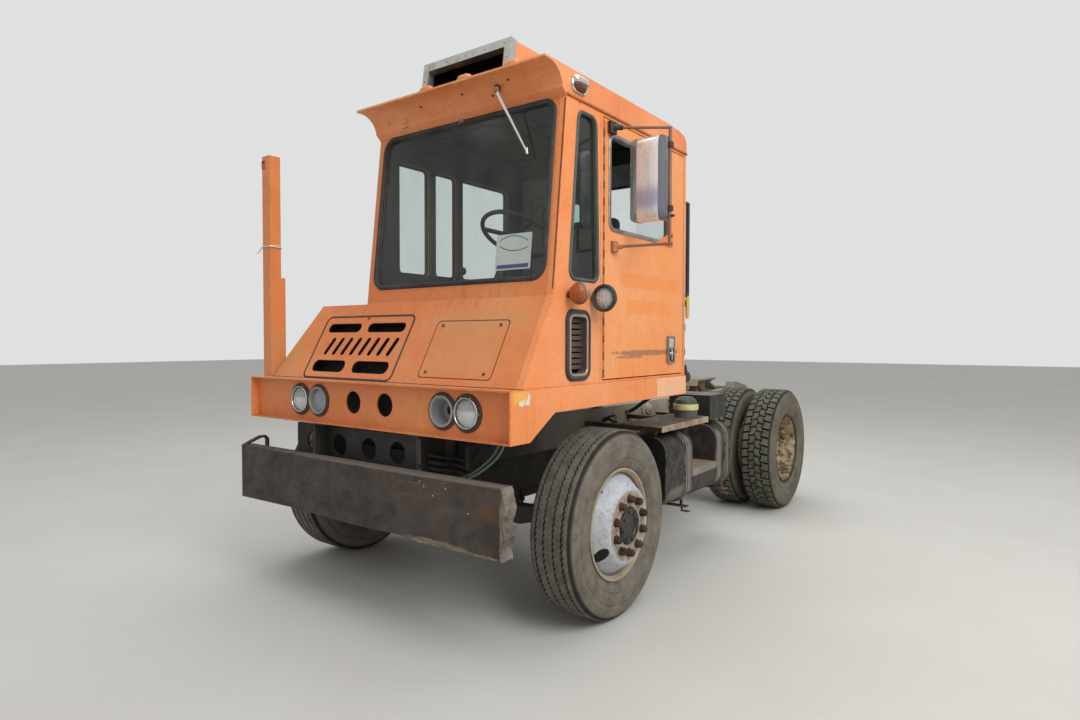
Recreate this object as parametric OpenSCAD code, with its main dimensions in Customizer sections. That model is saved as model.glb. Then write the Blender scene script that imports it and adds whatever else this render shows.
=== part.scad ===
// Terminal tractor: a one-seat yard tractor with an offset cab and a lifting fifth wheel.
// Working axes: +X the driver's left, +Y rearwards, +Z up, zero at the front axle on the ground.
// Every node is then moved so that the origin lies under the middle of the whole vehicle.

/* [Stance] */
// Distance from the front axle to the rear axle
wheelbase = 3038; // [2900:10:3200]
// Height of the front axle centre
front_axle_z = 506; // [500:1:515]
// Height of the rear axle centre
rear_axle_z = 525; // [518:1:535]
// Half of the front track
front_track_half = 1029; // [1010:1:1045]
// Distance between the tyres of one twin
twin_spacing = 343; // [335:1:350]
// Width of every tyre
tyre_w = 280; // [270:1:285]
// Rear end of the frame, behind the rear axle
rear_overhang = 850; // [800:10:900]

/* [Frame] */
// Outer width over the frame rails
frame_w = 860; // [840:2:880]
// Height of the top of the rails
rail_top = 1010; // [1000:2:1020]
// Depth of a rail
rail_h = 260; // [240:2:280]
// Width of a rail flange
rail_flange = 80; // [70:1:90]
// Thickness of the rail steel
rail_t = 10; // [8:1:12]

/* [Bumper] */
// Half width of the bumper
bumper_half = 1065; // [1050:1:1080]
// Front face of the bumper ahead of the front axle
bumper_front = 864; // [855:1:875]
// Depth of the bumper channel, front to back
bumper_d = 76; // [66:1:86]
// Height of the bumper's lower edge
bumper_bottom = 503; // [490:1:515]
// Height of the bumper's top
bumper_top = 832; // [820:1:845]
// Thickness of the bumper steel
bumper_t = 14; // [10:1:16]

/* [Skirt] */
// Half width over the fascia and the side skirts
skirt_half = 1045; // [1040:1:1055]
// Front edge of the fascia ahead of the front axle
fascia_front = 810; // [800:1:820]
// Depth of the fascia's flanges
fascia_lip = 45; // [35:1:50]
// Height of the fascia's lower edge
fascia_bottom = 1011; // [1011:1:1025]
// Height of the side skirt's lower edge
skirt_bottom = 1135; // [1125:1:1145]
// Height of the top of the skirt, where the cab sits
skirt_top = 1258; // [1250:1:1265]
// Thickness of the skirt plate
skirt_t = 8; // [6:1:10]
// Rear end of the skirt behind the front axle
skirt_rear = 1032; // [1020:1:1040]

/* [Cab] */
// Outer left side of the cab
cab_left_x = 1032; // [1028:1:1036]
// Outer right side of the cab
cab_right_x = -347; // [-360:1:-335]
// Outer rear face of the cab
cab_rear_y = 1035; // [1025:1:1045]
// Thickness of the cab walls
wall_t = 40; // [34:1:44]
// Height of the cab's eaves
eave_z = 2700; // [2690:1:2710]
// Thickness of the roof above the eaves
roof_h = 142; // [130:1:150]
// Height of the foot of the windshield wall
sill_z = 1709; // [1700:1:1715]
// Front of the cab at the sill, ahead of the front axle
sill_y = 463; // [455:1:470]
// Front of the cab at the eaves, ahead of the front axle
eave_y = 353; // [345:1:360]
// Front of the nose at the skirt, ahead of the front axle
nose_y = 711; // [700:1:720]
// Reach of the roof's brow ahead of the front axle
brow_y = 536; // [525:1:545]
// Thickness of the sloping nose sheet
nose_t = 14; // [12:1:16]

/* [Hood] */
// How far the hood's right side leans in from foot to top
hood_taper = 190; // [180:1:200]
// Height of the hood's top
hood_top_z = 1701; // [1690:1:1708]
// Thickness of the hood sheet
hood_t = 10; // [8:1:12]

/* [Door] */
// Front edge of the door behind the front axle
door_front_y = 0; // [-6:1:6]
// Rear edge of the door behind the front axle
door_rear_y = 1000; // [980:1:1010]
// Gap round the door
door_gap = 6; // [5:1:8]

/* [Fifth wheel] */
// Height of the boom's hinge pin
boom_pin_z = 955; // [950:1:960]
// Place of the boom's hinge pin behind the front axle
boom_pin_y = 1616; // [1600:1:1630]
// Height of the fifth wheel's top
plate_top = 1140; // [1135:1:1150]
// Place of the fifth wheel's pivot ahead of the rear axle
pivot_ahead = 78; // [60:1:100]

/* [Hidden] */
$fn = 48;

// Clearances
seat_gap = 0.3;
run_gap = 0.1;
panel_gap = 4;

// Colours
orange = "darkorange";
dusty = "dimgray";
rusty = "saddlebrown";
black = "#202020";
silver = "silver";
amber = "orange";

// Wheel sizes shared by tyres, rims, knuckles and axles
rim_seat_r = 285;
rim_flange_r = 299;
rim_half_w = 117;
hub_face = 118;
stud_circle_r = 143;
kingpin_x = 850;
kingpin_r = 22;
spindle_r = 40;
hub_reach = 165;
drum_r = 210;
drum_inner = -73;

// Vehicle extents, which set the origin
mirror_out = 1324;
front_y = -bumper_front;
rear_y = wheelbase + rear_overhang;
side_out = front_track_half + hub_reach;
middle_x = (mirror_out - side_out) / 2;
middle_y = (front_y + rear_y) / 2;

// Frame, and the middle of the outer rear tyre
rail_x = frame_w / 2;
tyre_to_rail = 75;
rear_outer_half = rail_x + tyre_to_rail + tyre_w / 2 + twin_spacing;
rail_bottom = rail_top - rail_h;
rail_front = -bumper_front + bumper_d;
inner_x = rail_x - rail_t;

// Post on the front corner, the hood that clears it, and the pieces as wide as the frame
post_w = 80;
post_clear = 2;
hood_foot_x = -skirt_half + post_w + post_clear;
hood_top_x = hood_foot_x + hood_taper;
plate_w = frame_w + 40;
spring_w = 76;
spring_x = rail_x - 7 - spring_w / 2;

// Nose and windshield planes
nose_lean = atan((nose_y - sill_y) / (sill_z - skirt_top));
nose_len = norm([nose_y - sill_y, sill_z - skirt_top]);
glass_lean = atan((sill_y - eave_y) / (eave_z - sill_z));
glass_len = norm([sill_y - eave_y, eave_z - sill_z]);
wall_y = wall_t / cos(glass_lean);
seam_x = cab_right_x + 2;
roof_z = eave_z + roof_h;

// Moves a node from the working axes to the vehicle's own origin.
module placed() {
    translate([-middle_x, -middle_y, 0]) children();
}

// A slab across the vehicle from x0 to x1 with its outline drawn in Y and Z.
module side_slab(x0, x1) {
    translate([x0, 0, 0]) rotate([90, 0, 90]) linear_extrude(x1 - x0) children();
}

// A slab along the vehicle from y0 to y1 with its outline drawn in X and Z.
module front_slab(y0, y1) {
    translate([0, y1, 0]) rotate([90, 0, 0]) linear_extrude(y1 - y0) children();
}

// A sheet on the nose slope: outline in X and up the slope, outer face out by the given offset.
module on_nose(outer, t) {
    translate([0, -nose_y, skirt_top]) rotate([90 - nose_lean, 0, 0])
        translate([0, 0, outer - t]) linear_extrude(t) children();
}

// A sheet on the windshield slope: outline in X and up the slope from the sill.
module on_glass(outer, t) {
    translate([0, -sill_y, sill_z]) rotate([90 - glass_lean, 0, 0])
        translate([0, 0, outer - t]) linear_extrude(t) children();
}

// A box given by its low and high corners.
module block(low, high) {
    translate(low) cube(high - low);
}

// A rod along X.
module rod_x(x0, x1, y, z, r) {
    translate([x0, y, z]) rotate([0, 90, 0]) cylinder(h = x1 - x0, r = r);
}

// A rod along Y.
module rod_y(y0, y1, x, z, r) {
    translate([x, y0, z]) rotate([-90, 0, 0]) cylinder(h = y1 - y0, r = r);
}

// A straight round bar between two points.
module bar(a, b, r) {
    d = b - a;
    translate(a) rotate([0, acos(d[2] / norm(d)), atan2(d[1], d[0])]) cylinder(h = norm(d), r = r);
}

// A copy of the children on each side of the centre line.
module both_sides() {
    children();
    mirror([1, 0, 0]) children();
}

// Points of a corner b, between a and c, rounded to radius r.
function corner(a, b, c, r, n) =
    let (u = (a - b) / norm(a - b), w = (c - b) / norm(c - b), half = acos(u * w) / 2,
         centre = b + (u + w) / norm(u + w) * r / sin(half),
         s = b + u * r / tan(half) - centre, e = b + w * r / tan(half) - centre,
         a0 = atan2(s[1], s[0]), turn = (atan2(e[1], e[0]) - a0 + 540) % 360 - 180)
    [for (k = [0:n]) centre + r * [cos(a0 + turn * k / n), sin(a0 + turn * k / n)]];

// An outline with every corner rounded to radius r, n steps a corner.
function rounded(p, r, n = 5) =
    let (c = len(p)) [for (i = [0:c - 1]) each corner(p[(i + c - 1) % c], p[i], p[(i + 1) % c], r, n)];

// Corners of an upright rectangle.
function rect(x0, z0, x1, z1) = [[x0, z0], [x1, z0], [x1, z1], [x0, z1]];

// A height on the nose slope or on the windshield slope, as a distance up that slope.
function up_nose(z) = (z - skirt_top) / cos(nose_lean);
function up_glass(z) = (z - sill_z) / cos(glass_lean);

// Frame rails: two channels with their flanges inwards
module frame_rails() {
    color(dusty) placed() both_sides() difference() {
        front_slab(rail_front, rear_y) polygon([
            [rail_x, rail_bottom], [rail_x, rail_top], [rail_x - rail_flange, rail_top],
            [rail_x - rail_flange, rail_top - rail_t], [inner_x, rail_top - rail_t],
            [inner_x, rail_bottom + rail_t], [rail_x - rail_flange, rail_bottom + rail_t],
            [rail_x - rail_flange, rail_bottom]
        ]);
        rod_x(inner_x - 1, rail_x + 1, boom_pin_y, boom_pin_z, boom_pin_r + run_gap);
    }
}

// Cross members between the rails, cab mounts, and outriggers to the skirt
cross_y = [-560, 1080, wheelbase - 918, wheelbase + 522];
cross_top = [120, 230, 100, 230];
cross_d = 90;
outrigger_y = [-685, 930];
shaft_hole_r = 74;
module crossmembers() {
    color(dusty) placed() {
        for (i = [0:3]) front_slab(cross_y[i], cross_y[i] + cross_d) difference() {
            polygon(rect(-inner_x, rail_bottom + rail_t, inner_x, rail_bottom + cross_top[i]));
            if (i == 1) translate([0, gearbox_z]) circle(r = shaft_hole_r);
        }
        both_sides() for (x = [lift_x - 46, lift_x + 34]) side_slab(x, x + 12) polygon([
            [cross_y[2], rail_bottom + rail_t], [cross_y[2] + cross_d, rail_bottom + rail_t],
            [lift_foot[0] + 40, lift_foot[1]], [lift_foot[0], lift_foot[1] - 40],
            [lift_foot[0] - 45, lift_foot[1]]
        ]);
        for (x = [-lift_x, lift_x]) rod_x(x - 46, x + 46, lift_foot[0], lift_foot[1], lift_foot_r);
        block([-inner_x, rear_y - 12, rail_bottom + rail_t], [inner_x, rear_y, rail_top - rail_t]);
        both_sides() for (y = outrigger_y) {
            block([rail_x - 60, y, rail_top], [rail_x, y + 60, skirt_top - skirt_t]);
            block([rail_x + seat_gap, y, skirt_top - 90],
                  [skirt_half - skirt_t, y + 60, skirt_top - skirt_t]);
        }
    }
}

// Front bumper: a torch-cut channel on two legs
leg_x = rail_x + 14;
module bumper() {
    color(rusty) placed() {
        difference() {
            front_slab(front_y, front_y + bumper_d) polygon([
                [-bumper_half, bumper_bottom + 8], [-bumper_half, bumper_top], [bumper_half - 26, bumper_top],
                [bumper_half - 12, bumper_top - 40], [bumper_half, bumper_top - 95],
                [bumper_half - 18, bumper_top - 150], [bumper_half - 6, bumper_bottom + 110],
                [bumper_half - 30, bumper_bottom + 52], [bumper_half - 22, bumper_bottom],
                [420, bumper_bottom + 10], [0, bumper_bottom + 2], [-520, bumper_bottom + 14]
            ]);
            block([-bumper_half - 1, front_y + bumper_t, bumper_bottom + 30],
                  [bumper_half + 1, front_y + bumper_d + 1, bumper_top - bumper_t]);
        }
        both_sides() side_slab(rail_x, leg_x) polygon([
            [front_y + bumper_t, bumper_bottom + 30], [front_y + bumper_t, bumper_top - bumper_t],
            [rail_front, bumper_top - bumper_t], [rail_front, rail_top - 20], [-600, rail_top - 20],
            [-600, rail_bottom + 20], [-700, bumper_bottom + 60]
        ]);
    }
}

// Guard plate behind the bumper, with four round holes
guard_y = -700;
guard_holes_x = [-556, -310, -55, 179];
module guard_plate() {
    color(dusty) placed() difference() {
        front_slab(guard_y, guard_y + 10) difference() {
            polygon(rounded(rect(-718, 760, 386, 986), 14));
            for (x = guard_holes_x) translate([x, 881]) circle(r = 61);
        }
        block([-leg_x, guard_y - 1, rail_bottom], [-inner_x, guard_y + 11, rail_top]);
    }
}

// Fascia: a shallow pan across the front, with round holes for lamps
pan_y = -fascia_front + fascia_lip;
lamps = [
    ["x", "bucket", "lens"],
    [-584, true, true],
    [-411, true, false],
    [582, true, false],
    [745, true, true]
];
lamp_z = 1138;
lamp_r = 81;
open_holes_x = [-105, 153];
open_hole_r = 62;
module fascia_pan() {
    half = skirt_half - skirt_t - seat_gap;
    color(orange) placed() {
        front_slab(pan_y, pan_y + skirt_t) difference() {
            polygon(rect(-half, fascia_bottom, half, skirt_top));
            for (i = [1:4]) translate([lamps[i][0], lamp_z]) circle(r = lamp_r - 9);
            for (x = open_holes_x) translate([x, lamp_z + 5]) circle(r = open_hole_r);
        }
        for (z = [fascia_bottom, skirt_top - skirt_t])
            block([-half, -fascia_front, z], [half, pan_y, z + skirt_t]);
    }
}

// Side skirts: a band down each side, with the shelf that the cab and the hood stand on
arch_y = -464;
shelf_w = 102;
module fascia_skirt() {
    half = skirt_half - skirt_t - seat_gap;
    back = pan_y + skirt_t + seat_gap;
    color(orange) placed() {
        both_sides() {
            side_slab(skirt_half - skirt_t, skirt_half) polygon([
                [-fascia_front, fascia_bottom], [-fascia_front, skirt_top], [skirt_rear, skirt_top],
                [skirt_rear, skirt_bottom], [arch_y, skirt_bottom],
                [arch_y - 200, fascia_bottom]
            ]);
            block([half - shelf_w, back, skirt_top - skirt_t], [half, skirt_rear, skirt_top]);
        }
        shelf = half - shelf_w - seat_gap;
        block([-shelf, back, skirt_top - skirt_t], [shelf, -nose_y + 60, skirt_top]);
    }
}

// Headlamp buckets in the fascia, and the body of the work lamp
work_lamp = [cab_left_x + 82, -128, 1706];
module bucket(r, d) {
    rotate([90, 0, 0]) rotate_extrude()
        polygon([[0, -d], [r - 34, -d], [r - 20, -d + 6], [r - 10, 0], [r, 0], [r, 6], [r - 5, 14],
                 [r - 11, 12], [r - 11, 2], [r - 18, 2], [r - 28, -d + 14], [0, -d + 8]]);
}
module lamp_buckets() {
    color(dusty) placed() {
        for (i = [1:4]) translate([lamps[i][0], pan_y, lamp_z]) difference() {
            bucket(lamp_r, 70);
            if (!lamps[i][2]) rod_y(0, 80, 0, 0, 24);
        }
        translate(work_lamp) {
            rotate([-90, 0, 0]) rotate_extrude()
                polygon([[0, 34], [48, 8], [56, 8], [56, 0], [68, 0], [68, 14], [50, 52], [20, 62], [0, 62]]);
        }
        block([cab_left_x, work_lamp[1] + 16, work_lamp[2] - 12],
              [work_lamp[0] - 40, work_lamp[1] + 34, work_lamp[2] + 12]);
    }
}

// Sealed-beam lenses of the two headlamps and of the work lamp
module lens(r, d) {
    ball = (r * r + d * d) / (2 * d);
    rotate([90, 0, 0]) intersection() {
        translate([0, 0, d - ball]) sphere(r = ball);
        cylinder(h = d, r = r);
    }
}
module lamp_lenses() {
    color("whitesmoke") placed() {
        for (i = [1:4]) if (lamps[i][2])
            translate([lamps[i][0], pan_y - 2 - seat_gap, lamp_z]) lens(lamp_r - 11 - seat_gap, 28);
        translate(work_lamp) translate([0, 8 - seat_gap, 0]) lens(56 - seat_gap, 18);
    }
}

// Amber lamps: three on the brow, one on the roof's side, and the round turn signal
marker_x = [212, 493, 808];
turn_lamp = [cab_left_x + 63, -330, 1720];
module amber_lamps() {
    color(amber) placed() {
        for (x = marker_x) translate([x, -brow_y + 30, roof_z]) difference() {
            rod_x(-45, 45, 0, 0, 24);
            block([-60, -40, -40], [60, 40, 0]);
        }
        translate([cab_left_x, -235, 2773]) rotate([0, 90, 0]) cylinder(h = 26, r = 30);
        translate(turn_lamp) rod_y(-28, 28, 0, 0, 54);
        block([cab_left_x, turn_lamp[1] - 10, turn_lamp[2] - 9],
              [turn_lamp[0] - 40, turn_lamp[1] + 10, turn_lamp[2] + 9]);
    }
}

// Recess and openings of the nose, shared by the sheets and the panels set into them
grille = [-650, 1270, 120, 1622];
hatch = [324, 1296, 820, 1587];
panel_t = 6;
slot_rows = [
    ["x0", "z0", "x1", "z1"],
    [-608, 1532, -305, 1585],
    [-242, 1532, 77, 1585],
    [-603, 1300, -304, 1367],
    [-233, 1300, 72, 1367]
];
module panel_outline(p, grow, r) {
    polygon(rounded(rect(p[0] - grow, up_nose(p[1]) - grow, p[2] + grow, up_nose(p[3]) + grow), r));
}
module grille_slots() {
    for (i = [1:4]) {
        s = slot_rows[i];
        high = up_nose(s[3]) - up_nose(s[1]);
        polygon(rounded(rect(s[0], up_nose(s[1]), s[2], up_nose(s[3])), high / 2 - 1));
    }
    for (x = [-560:80:0]) {
        low = up_nose(1398);
        high = up_nose(1500);
        polygon(rounded([[x, low], [x + 34, low], [x + 74, high], [x + 40, high]], 14));
    }
}

// Engine hood: tapered right side, flat top and the right part of the nose, one shell
hood_left = seam_x - panel_gap;
module hood_form(inset, nose_inset, drop) {
    intersection() {
        front_slab(-nose_y, cab_rear_y - inset) polygon([
            [hood_foot_x + inset, skirt_top - drop], [hood_left + drop, skirt_top - drop],
            [hood_left + drop, hood_top_z - inset], [hood_top_x + inset, hood_top_z - inset]
        ]);
        side_slab(hood_foot_x, hood_left + drop) polygon([
            [-nose_y + nose_inset - drop * tan(nose_lean), skirt_top - drop],
            [-sill_y + nose_inset, sill_z], [cab_rear_y, sill_z], [cab_rear_y, skirt_top - drop]
        ]);
    }
}
module hood() {
    color(orange) placed() difference() {
        hood_form(0, 0, 0);
        hood_form(hood_t, nose_t / cos(nose_lean), 1);
        on_nose(1, panel_t + 1) panel_outline(grille, panel_gap, 34);
        on_nose(1, nose_t + 2) grille_slots();
    }
}

module grille_panel() {
    color(orange) placed() on_nose(0, panel_t) difference() {
        panel_outline(grille, 0, 30);
        grille_slots();
    }
}

module access_panel() {
    color(orange) placed() on_nose(0, panel_t) panel_outline(hatch, 0, 22);
}

// Engine with its gearbox, as plain blocks between the rails
gearbox_z = 850;
gearbox_end = 1050;
module engine_block() {
    color("gray") placed() {
        difference() {
            block([-300, -380, 640], [300, 520, 1225]);
            block([-301, -381, 639], [-180, 521, 760]);
            block([180, -381, 639], [301, 521, 760]);
        }
        rod_y(520, 700, 0, 880, 190);
        rod_y(1000, gearbox_end, 0, gearbox_z, 60);
        block([-150, 700, 720], [150, 1000, 1010]);
        both_sides() block([300, 40, 900], [inner_x, 130, 930]);
    }
}

// Radiator behind the grille
module radiator() {
    color(black) placed() {
        block([-640, -530, rail_top], [110, -450, 1440]);
        block([-320, -520, rail_bottom + cross_top[0]], [70, -475, rail_top]);
    }
}

// Cab floor with the toe board that closes the footwell
floor_t = 30;
toe_y = -405;
module cab_floor() {
    color("#404040") placed() {
        block([cab_right_x + wall_t, toe_y, skirt_top],
              [cab_left_x - wall_t, cab_rear_y - wall_t, skirt_top + floor_t]);
        block([cab_right_x + wall_t, toe_y - 12, skirt_top], [cab_left_x - wall_t, toe_y, sill_z - 30]);
    }
}

// Left outline of the cab in Y and Z, and the openings in it
door_box = [door_front_y, skirt_top + 18, door_rear_y, eave_z - 20];
hinge_x = cab_left_x + 4;
hinge_y = door_front_y - door_gap / 2;
quarter_r = 45;
quarter = [[-326, 1800], [-56, 1800], [-84, 2650], [-246, 2650]];
vent = [-350, 1290, -150, 1634];
module cab_outline() {
    polygon([[-nose_y, skirt_top], [-sill_y, sill_z], [-eave_y, eave_z], [cab_rear_y, eave_z],
             [cab_rear_y, skirt_top]]);
}
module cab_left() {
    color(orange) placed() side_slab(cab_left_x - wall_t, cab_left_x) difference() {
        cab_outline();
        polygon(rect(door_box[0] - door_gap, door_box[1] - door_gap, door_box[2] + door_gap,
                     door_box[3] + door_gap));
        polygon(rounded(quarter, quarter_r));
        polygon(rounded(rect(vent[0], vent[1], vent[2], vent[3]), 50));
    }
    color(rusty) placed() {
        translate([hinge_x, hinge_y, door_box[1] + 10])
            cylinder(h = door_box[3] - door_box[1] - 20, r = 4);
        block([cab_left_x, hinge_y - 27, door_box[1] + 10], [cab_left_x + 2, hinge_y - 1, door_box[3] - 10]);
    }
}

// Right wall with three windows
window_r = 40;
right_windows = [
    ["y0", "z0", "y1", "z1"],
    [-240, 1900, 30, 2600],
    [76, 1900, 290, 2600],
    [336, 1900, 840, 2600]
];
module window_outline(w, inset) {
    polygon(rounded(rect(w[0] + inset, w[1] + inset, w[2] - inset, w[3] - inset), window_r));
}
module cab_right() {
    color(orange) placed() side_slab(cab_right_x, cab_right_x + wall_t) difference() {
        polygon([[-sill_y + wall_y, skirt_top], [-sill_y + wall_y, sill_z], [-eave_y + wall_y, eave_z],
                 [cab_rear_y - wall_t, eave_z], [cab_rear_y - wall_t, skirt_top]]);
        for (i = [1:3]) window_outline(right_windows[i], 0);
    }
}

// Front of the cab: its part of the nose and the windshield frame
shield = [-290, 1800, 990, 2690];
module cab_front() {
    x1 = cab_left_x - wall_t;
    color(orange) placed() {
        difference() {
            intersection() {
                on_nose(0, nose_t) polygon(rect(seam_x, 0, x1, nose_len));
                block([seam_x, -nose_y, skirt_top], [x1, 0, eave_z]);
            }
            on_nose(1, panel_t + 1) panel_outline(grille, panel_gap, 34);
            on_nose(1, panel_t + 1) panel_outline(hatch, panel_gap, 24);
            on_nose(1, nose_t + 2) grille_slots();
        }
        on_glass(0, wall_t) difference() {
            polygon(rect(cab_right_x, 0, x1, glass_len));
            polygon(rounded(rect(shield[0], up_glass(shield[1]), x1 - 30, up_glass(shield[3])), 70));
        }
    }
}

// Rear wall with the doorway of the sliding door
rear_doorway = [-240, skirt_top + 72, 290, 2560];
rear_window = [420, 1900, 930, 2560];
track_z = skirt_top + 42;
track_x = [-290, 930];
module cab_rear() {
    color(orange) placed() {
        front_slab(cab_rear_y - wall_t, cab_rear_y) difference() {
            polygon(rect(cab_right_x, skirt_top, cab_left_x - wall_t, eave_z));
            window_outline(rear_doorway, 0);
            window_outline(rear_window, 0);
        }
        for (z = [track_z - 12, rear_doorway[3] + 36])
            block([track_x[0], cab_rear_y, z], [track_x[1], cab_rear_y + 44, z + 12]);
    }
}

// Roof with its hollow brow, and the gutter down both sides
cove_r = 112;
module cab_roof() {
    color(orange) placed() {
        difference() {
            side_slab(cab_right_x, cab_left_x) polygon([
                [-brow_y, roof_z - 12], [-brow_y, roof_z], [778, roof_z], [930, roof_z - 8],
                [1010, roof_z - 26], [cab_rear_y + 6, roof_z - 60], [cab_rear_y + 6, eave_z],
                [-eave_y, eave_z], [-eave_y - 40, eave_z + 34], [-500, roof_z - 12]
            ]);
            rod_x(cab_right_x - 1, cab_left_x + 1, -500, roof_z - 12 - cove_r, cove_r);
            block([cab_right_x + 60, -eave_y + 60, eave_z - 1],
                  [cab_left_x - 60, cab_rear_y - 60, roof_z - 45]);
        }
        for (x = [cab_right_x - 8, cab_left_x])
            block([x, -eave_y + 4, eave_z + 2], [x + 8, cab_rear_y, eave_z + 14]);
    }
}

// Fixed panes: windshield, quarter glass, right windows and rear window
glass_t = 6;
module cab_glass() {
    x1 = cab_left_x - wall_t - 30 - seat_gap;
    mid = cab_left_x - wall_t / 2;
    color("lightblue", 0.4) placed() {
        on_glass(-12, glass_t)
            polygon(rounded(rect(shield[0] + seat_gap, up_glass(shield[1]) + seat_gap, x1,
                                 up_glass(shield[3]) - seat_gap), 70));
        side_slab(mid, mid + glass_t)
            polygon(rounded([for (p = quarter) p + [p[0] < -200 ? 0.5 : -0.5, p[1] < 2000 ? 0.5 : -0.5]],
                            quarter_r));
        for (i = [1:3]) side_slab(cab_right_x + 16, cab_right_x + 16 + glass_t)
            window_outline(right_windows[i], seat_gap);
        front_slab(cab_rear_y - 24, cab_rear_y - 24 + glass_t)
            window_outline(rear_window, seat_gap);
    }
}

// Ventilation box on the roof, open at its front
box_x = [17, 665];
box_y = [-345, 305];
box_top = roof_z + 233;
module roof_box() {
    color(orange) placed() difference() {
        side_slab(box_x[0], box_x[1]) polygon([
            [box_y[0] - 20, roof_z], [box_y[0] + 10, box_top - 30], [box_y[0] + 60, box_top],
            [box_y[1] - 40, box_top], [box_y[1], box_top - 40], [box_y[1], roof_z]
        ]);
        block([box_x[0] + 20, box_y[0] - 60, roof_z + 28], [box_x[1] - 20, box_y[1] - 120, box_top - 24]);
    }
}

// Dash with the steering column
module dash() {
    color(black) placed() {
        side_slab(cab_right_x + wall_t + 4, cab_left_x - wall_t - 4) polygon([
            [toe_y, sill_z - 130], [toe_y, sill_z - 30], [-sill_y + wall_t + 25, sill_z + 30],
            [-250, sill_z + 60], [-200, sill_z + 20], [-230, sill_z - 90]
        ]);
        bar(column_foot, wheel_centre - column_axis * (hub_drop + seat_gap), 32);
    }
}

// Steering wheel: rim, three spokes and hub, square to its sloping column
column_lean = 30;
column_axis = [0, sin(column_lean), cos(column_lean)];
column_foot = [450, -260, sill_z - 20];
wheel_centre = column_foot + 480 * column_axis;
hub_drop = 40;
module steering_wheel() {
    color(black) placed() translate(wheel_centre) rotate([-column_lean, 0, 0]) {
        rotate_extrude() translate([210, 0]) circle(r = 13);
        translate([0, 0, -hub_drop]) cylinder(h = hub_drop, r = 42);
        for (a = [90, 210, 330]) rotate([0, 0, a]) block([30, -14, -22], [206, 14, -8]);
    }
}

// Seat: pedestal, then the two cushions
seat_x = 450;
module seat_base() {
    color(black) placed() {
        block([seat_x - 150, 430, skirt_top + floor_t], [seat_x + 150, 780, 1560]);
        block([seat_x - 230, 360, 1560], [seat_x + 230, 850, 1600]);
        block([seat_x - 200, 850, 1560], [seat_x + 200, 862, 1900]);
    }
}
module seat_cushions() {
    color("#303030") placed() {
        block([seat_x - 235, 350, 1600 + seat_gap], [seat_x + 235, 760, 1720]);
        side_slab(seat_x - 225, seat_x + 225) polygon([
            [765, 1650], [765, 1730], [780, 2300], [850, 2320], [850 - seat_gap, 1650]
        ]);
    }
}

// Louvred vent in the left wall
module vent_louvre() {
    color(dusty) placed() {
        side_slab(cab_left_x - wall_t, cab_left_x + 10) difference() {
            polygon(rounded(rect(vent[0] + seat_gap, vent[1] + seat_gap, vent[2] - seat_gap,
                                 vent[3] - seat_gap), 50));
            polygon(rounded(rect(vent[0] + 28, vent[1] + 28, vent[2] - 28, vent[3] - 28), 26));
        }
        for (z = [vent[1] + 48:30:vent[3] - 48]) side_slab(cab_left_x - 30, cab_left_x - 26)
            polygon(rect(vent[0] + 26, z, vent[2] - 26, z + 22));
    }
}

// Square post on the right front corner, with the shorter channel that holds it
post = [-skirt_half, -720, -skirt_half + post_w, -645];
post_top = 2640;
module corner_post() {
    color(orange) placed() {
        difference() {
            block([post[0], post[1], skirt_top], [post[2], post[3], post_top]);
            block([post[0] + 6, post[1] + 6, skirt_top - 1], [post[2] - 6, post[3] - 6, post_top - 6]);
        }
        block([post[0] + 30, post[3], skirt_top], [post[2], post[3] + 30, 1880]);
    }
}

// Grab rail behind the left rear corner of the cab
rail_bar_x = cab_left_x - 14;
module grab_rail() {
    color(black) placed() {
        bar([rail_bar_x, 1100, 1790], [rail_bar_x, 1100, 2395], 13);
        for (z = [1790, 2395]) rod_y(cab_rear_y, 1100, rail_bar_x, z, 13);
        for (z = hose_clips_z) difference() {
            union() {
                translate([1000, 1060, z]) cylinder(h = 24, r = 20);
                block([985, cab_rear_y, z], [1000, 1060, z + 24]);
            }
            translate([1000, 1060, z - 1]) cylinder(h = 26, r = hose_r + seat_gap);
        }
    }
}

// Air hose down the cab's rear corner, held by clips along its whole length
hose_route = [
    [1000, 1060, 1770], [1000, 1060, 1640], [1000, 1060, 1500], [1000, 1060, 1380], [998, 1068, 1300],
    [985, 1105, 1240], [940, 1165, 1205], [870, 1225, 1175], [780, 1270, 1140], [680, 1300, 1095],
    [580, 1320, 1035], [500, 1325, 980], [460, 1325, 960], [430.3, 1325, 960]
];
hose_clips_z = [1720, 1560, 1400];
hose_r = 14;
function along(p, i) =
    let (a = p[max(i - 1, 0)], b = p[min(i + 1, len(p) - 1)]) (b - a) / norm(b - a);
function ring(p, i, r, n) =
    let (t = along(p, i), s = cross(t, [0, 1, 0.3]) / norm(cross(t, [0, 1, 0.3])), w = cross(t, s))
    [for (k = [0:n - 1]) p[i] + r * (s * cos(360 * k / n) + w * sin(360 * k / n))];
module tube(p, r, n) {
    rings = [for (i = [0:len(p) - 1]) each ring(p, i, r, n)];
    sides = [for (i = [0:len(p) - 2], k = [0:n - 1])
        [i * n + k, i * n + (k + 1) % n, (i + 1) * n + (k + 1) % n, (i + 1) * n + k]];
    ends = [[for (k = [n - 1:-1:0]) k], [for (k = [0:n - 1]) (len(p) - 1) * n + k]];
    polyhedron(rings, concat(sides, ends));
}
module air_hose() {
    color(black) placed() tube(hose_route, hose_r, 8);
}

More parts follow.
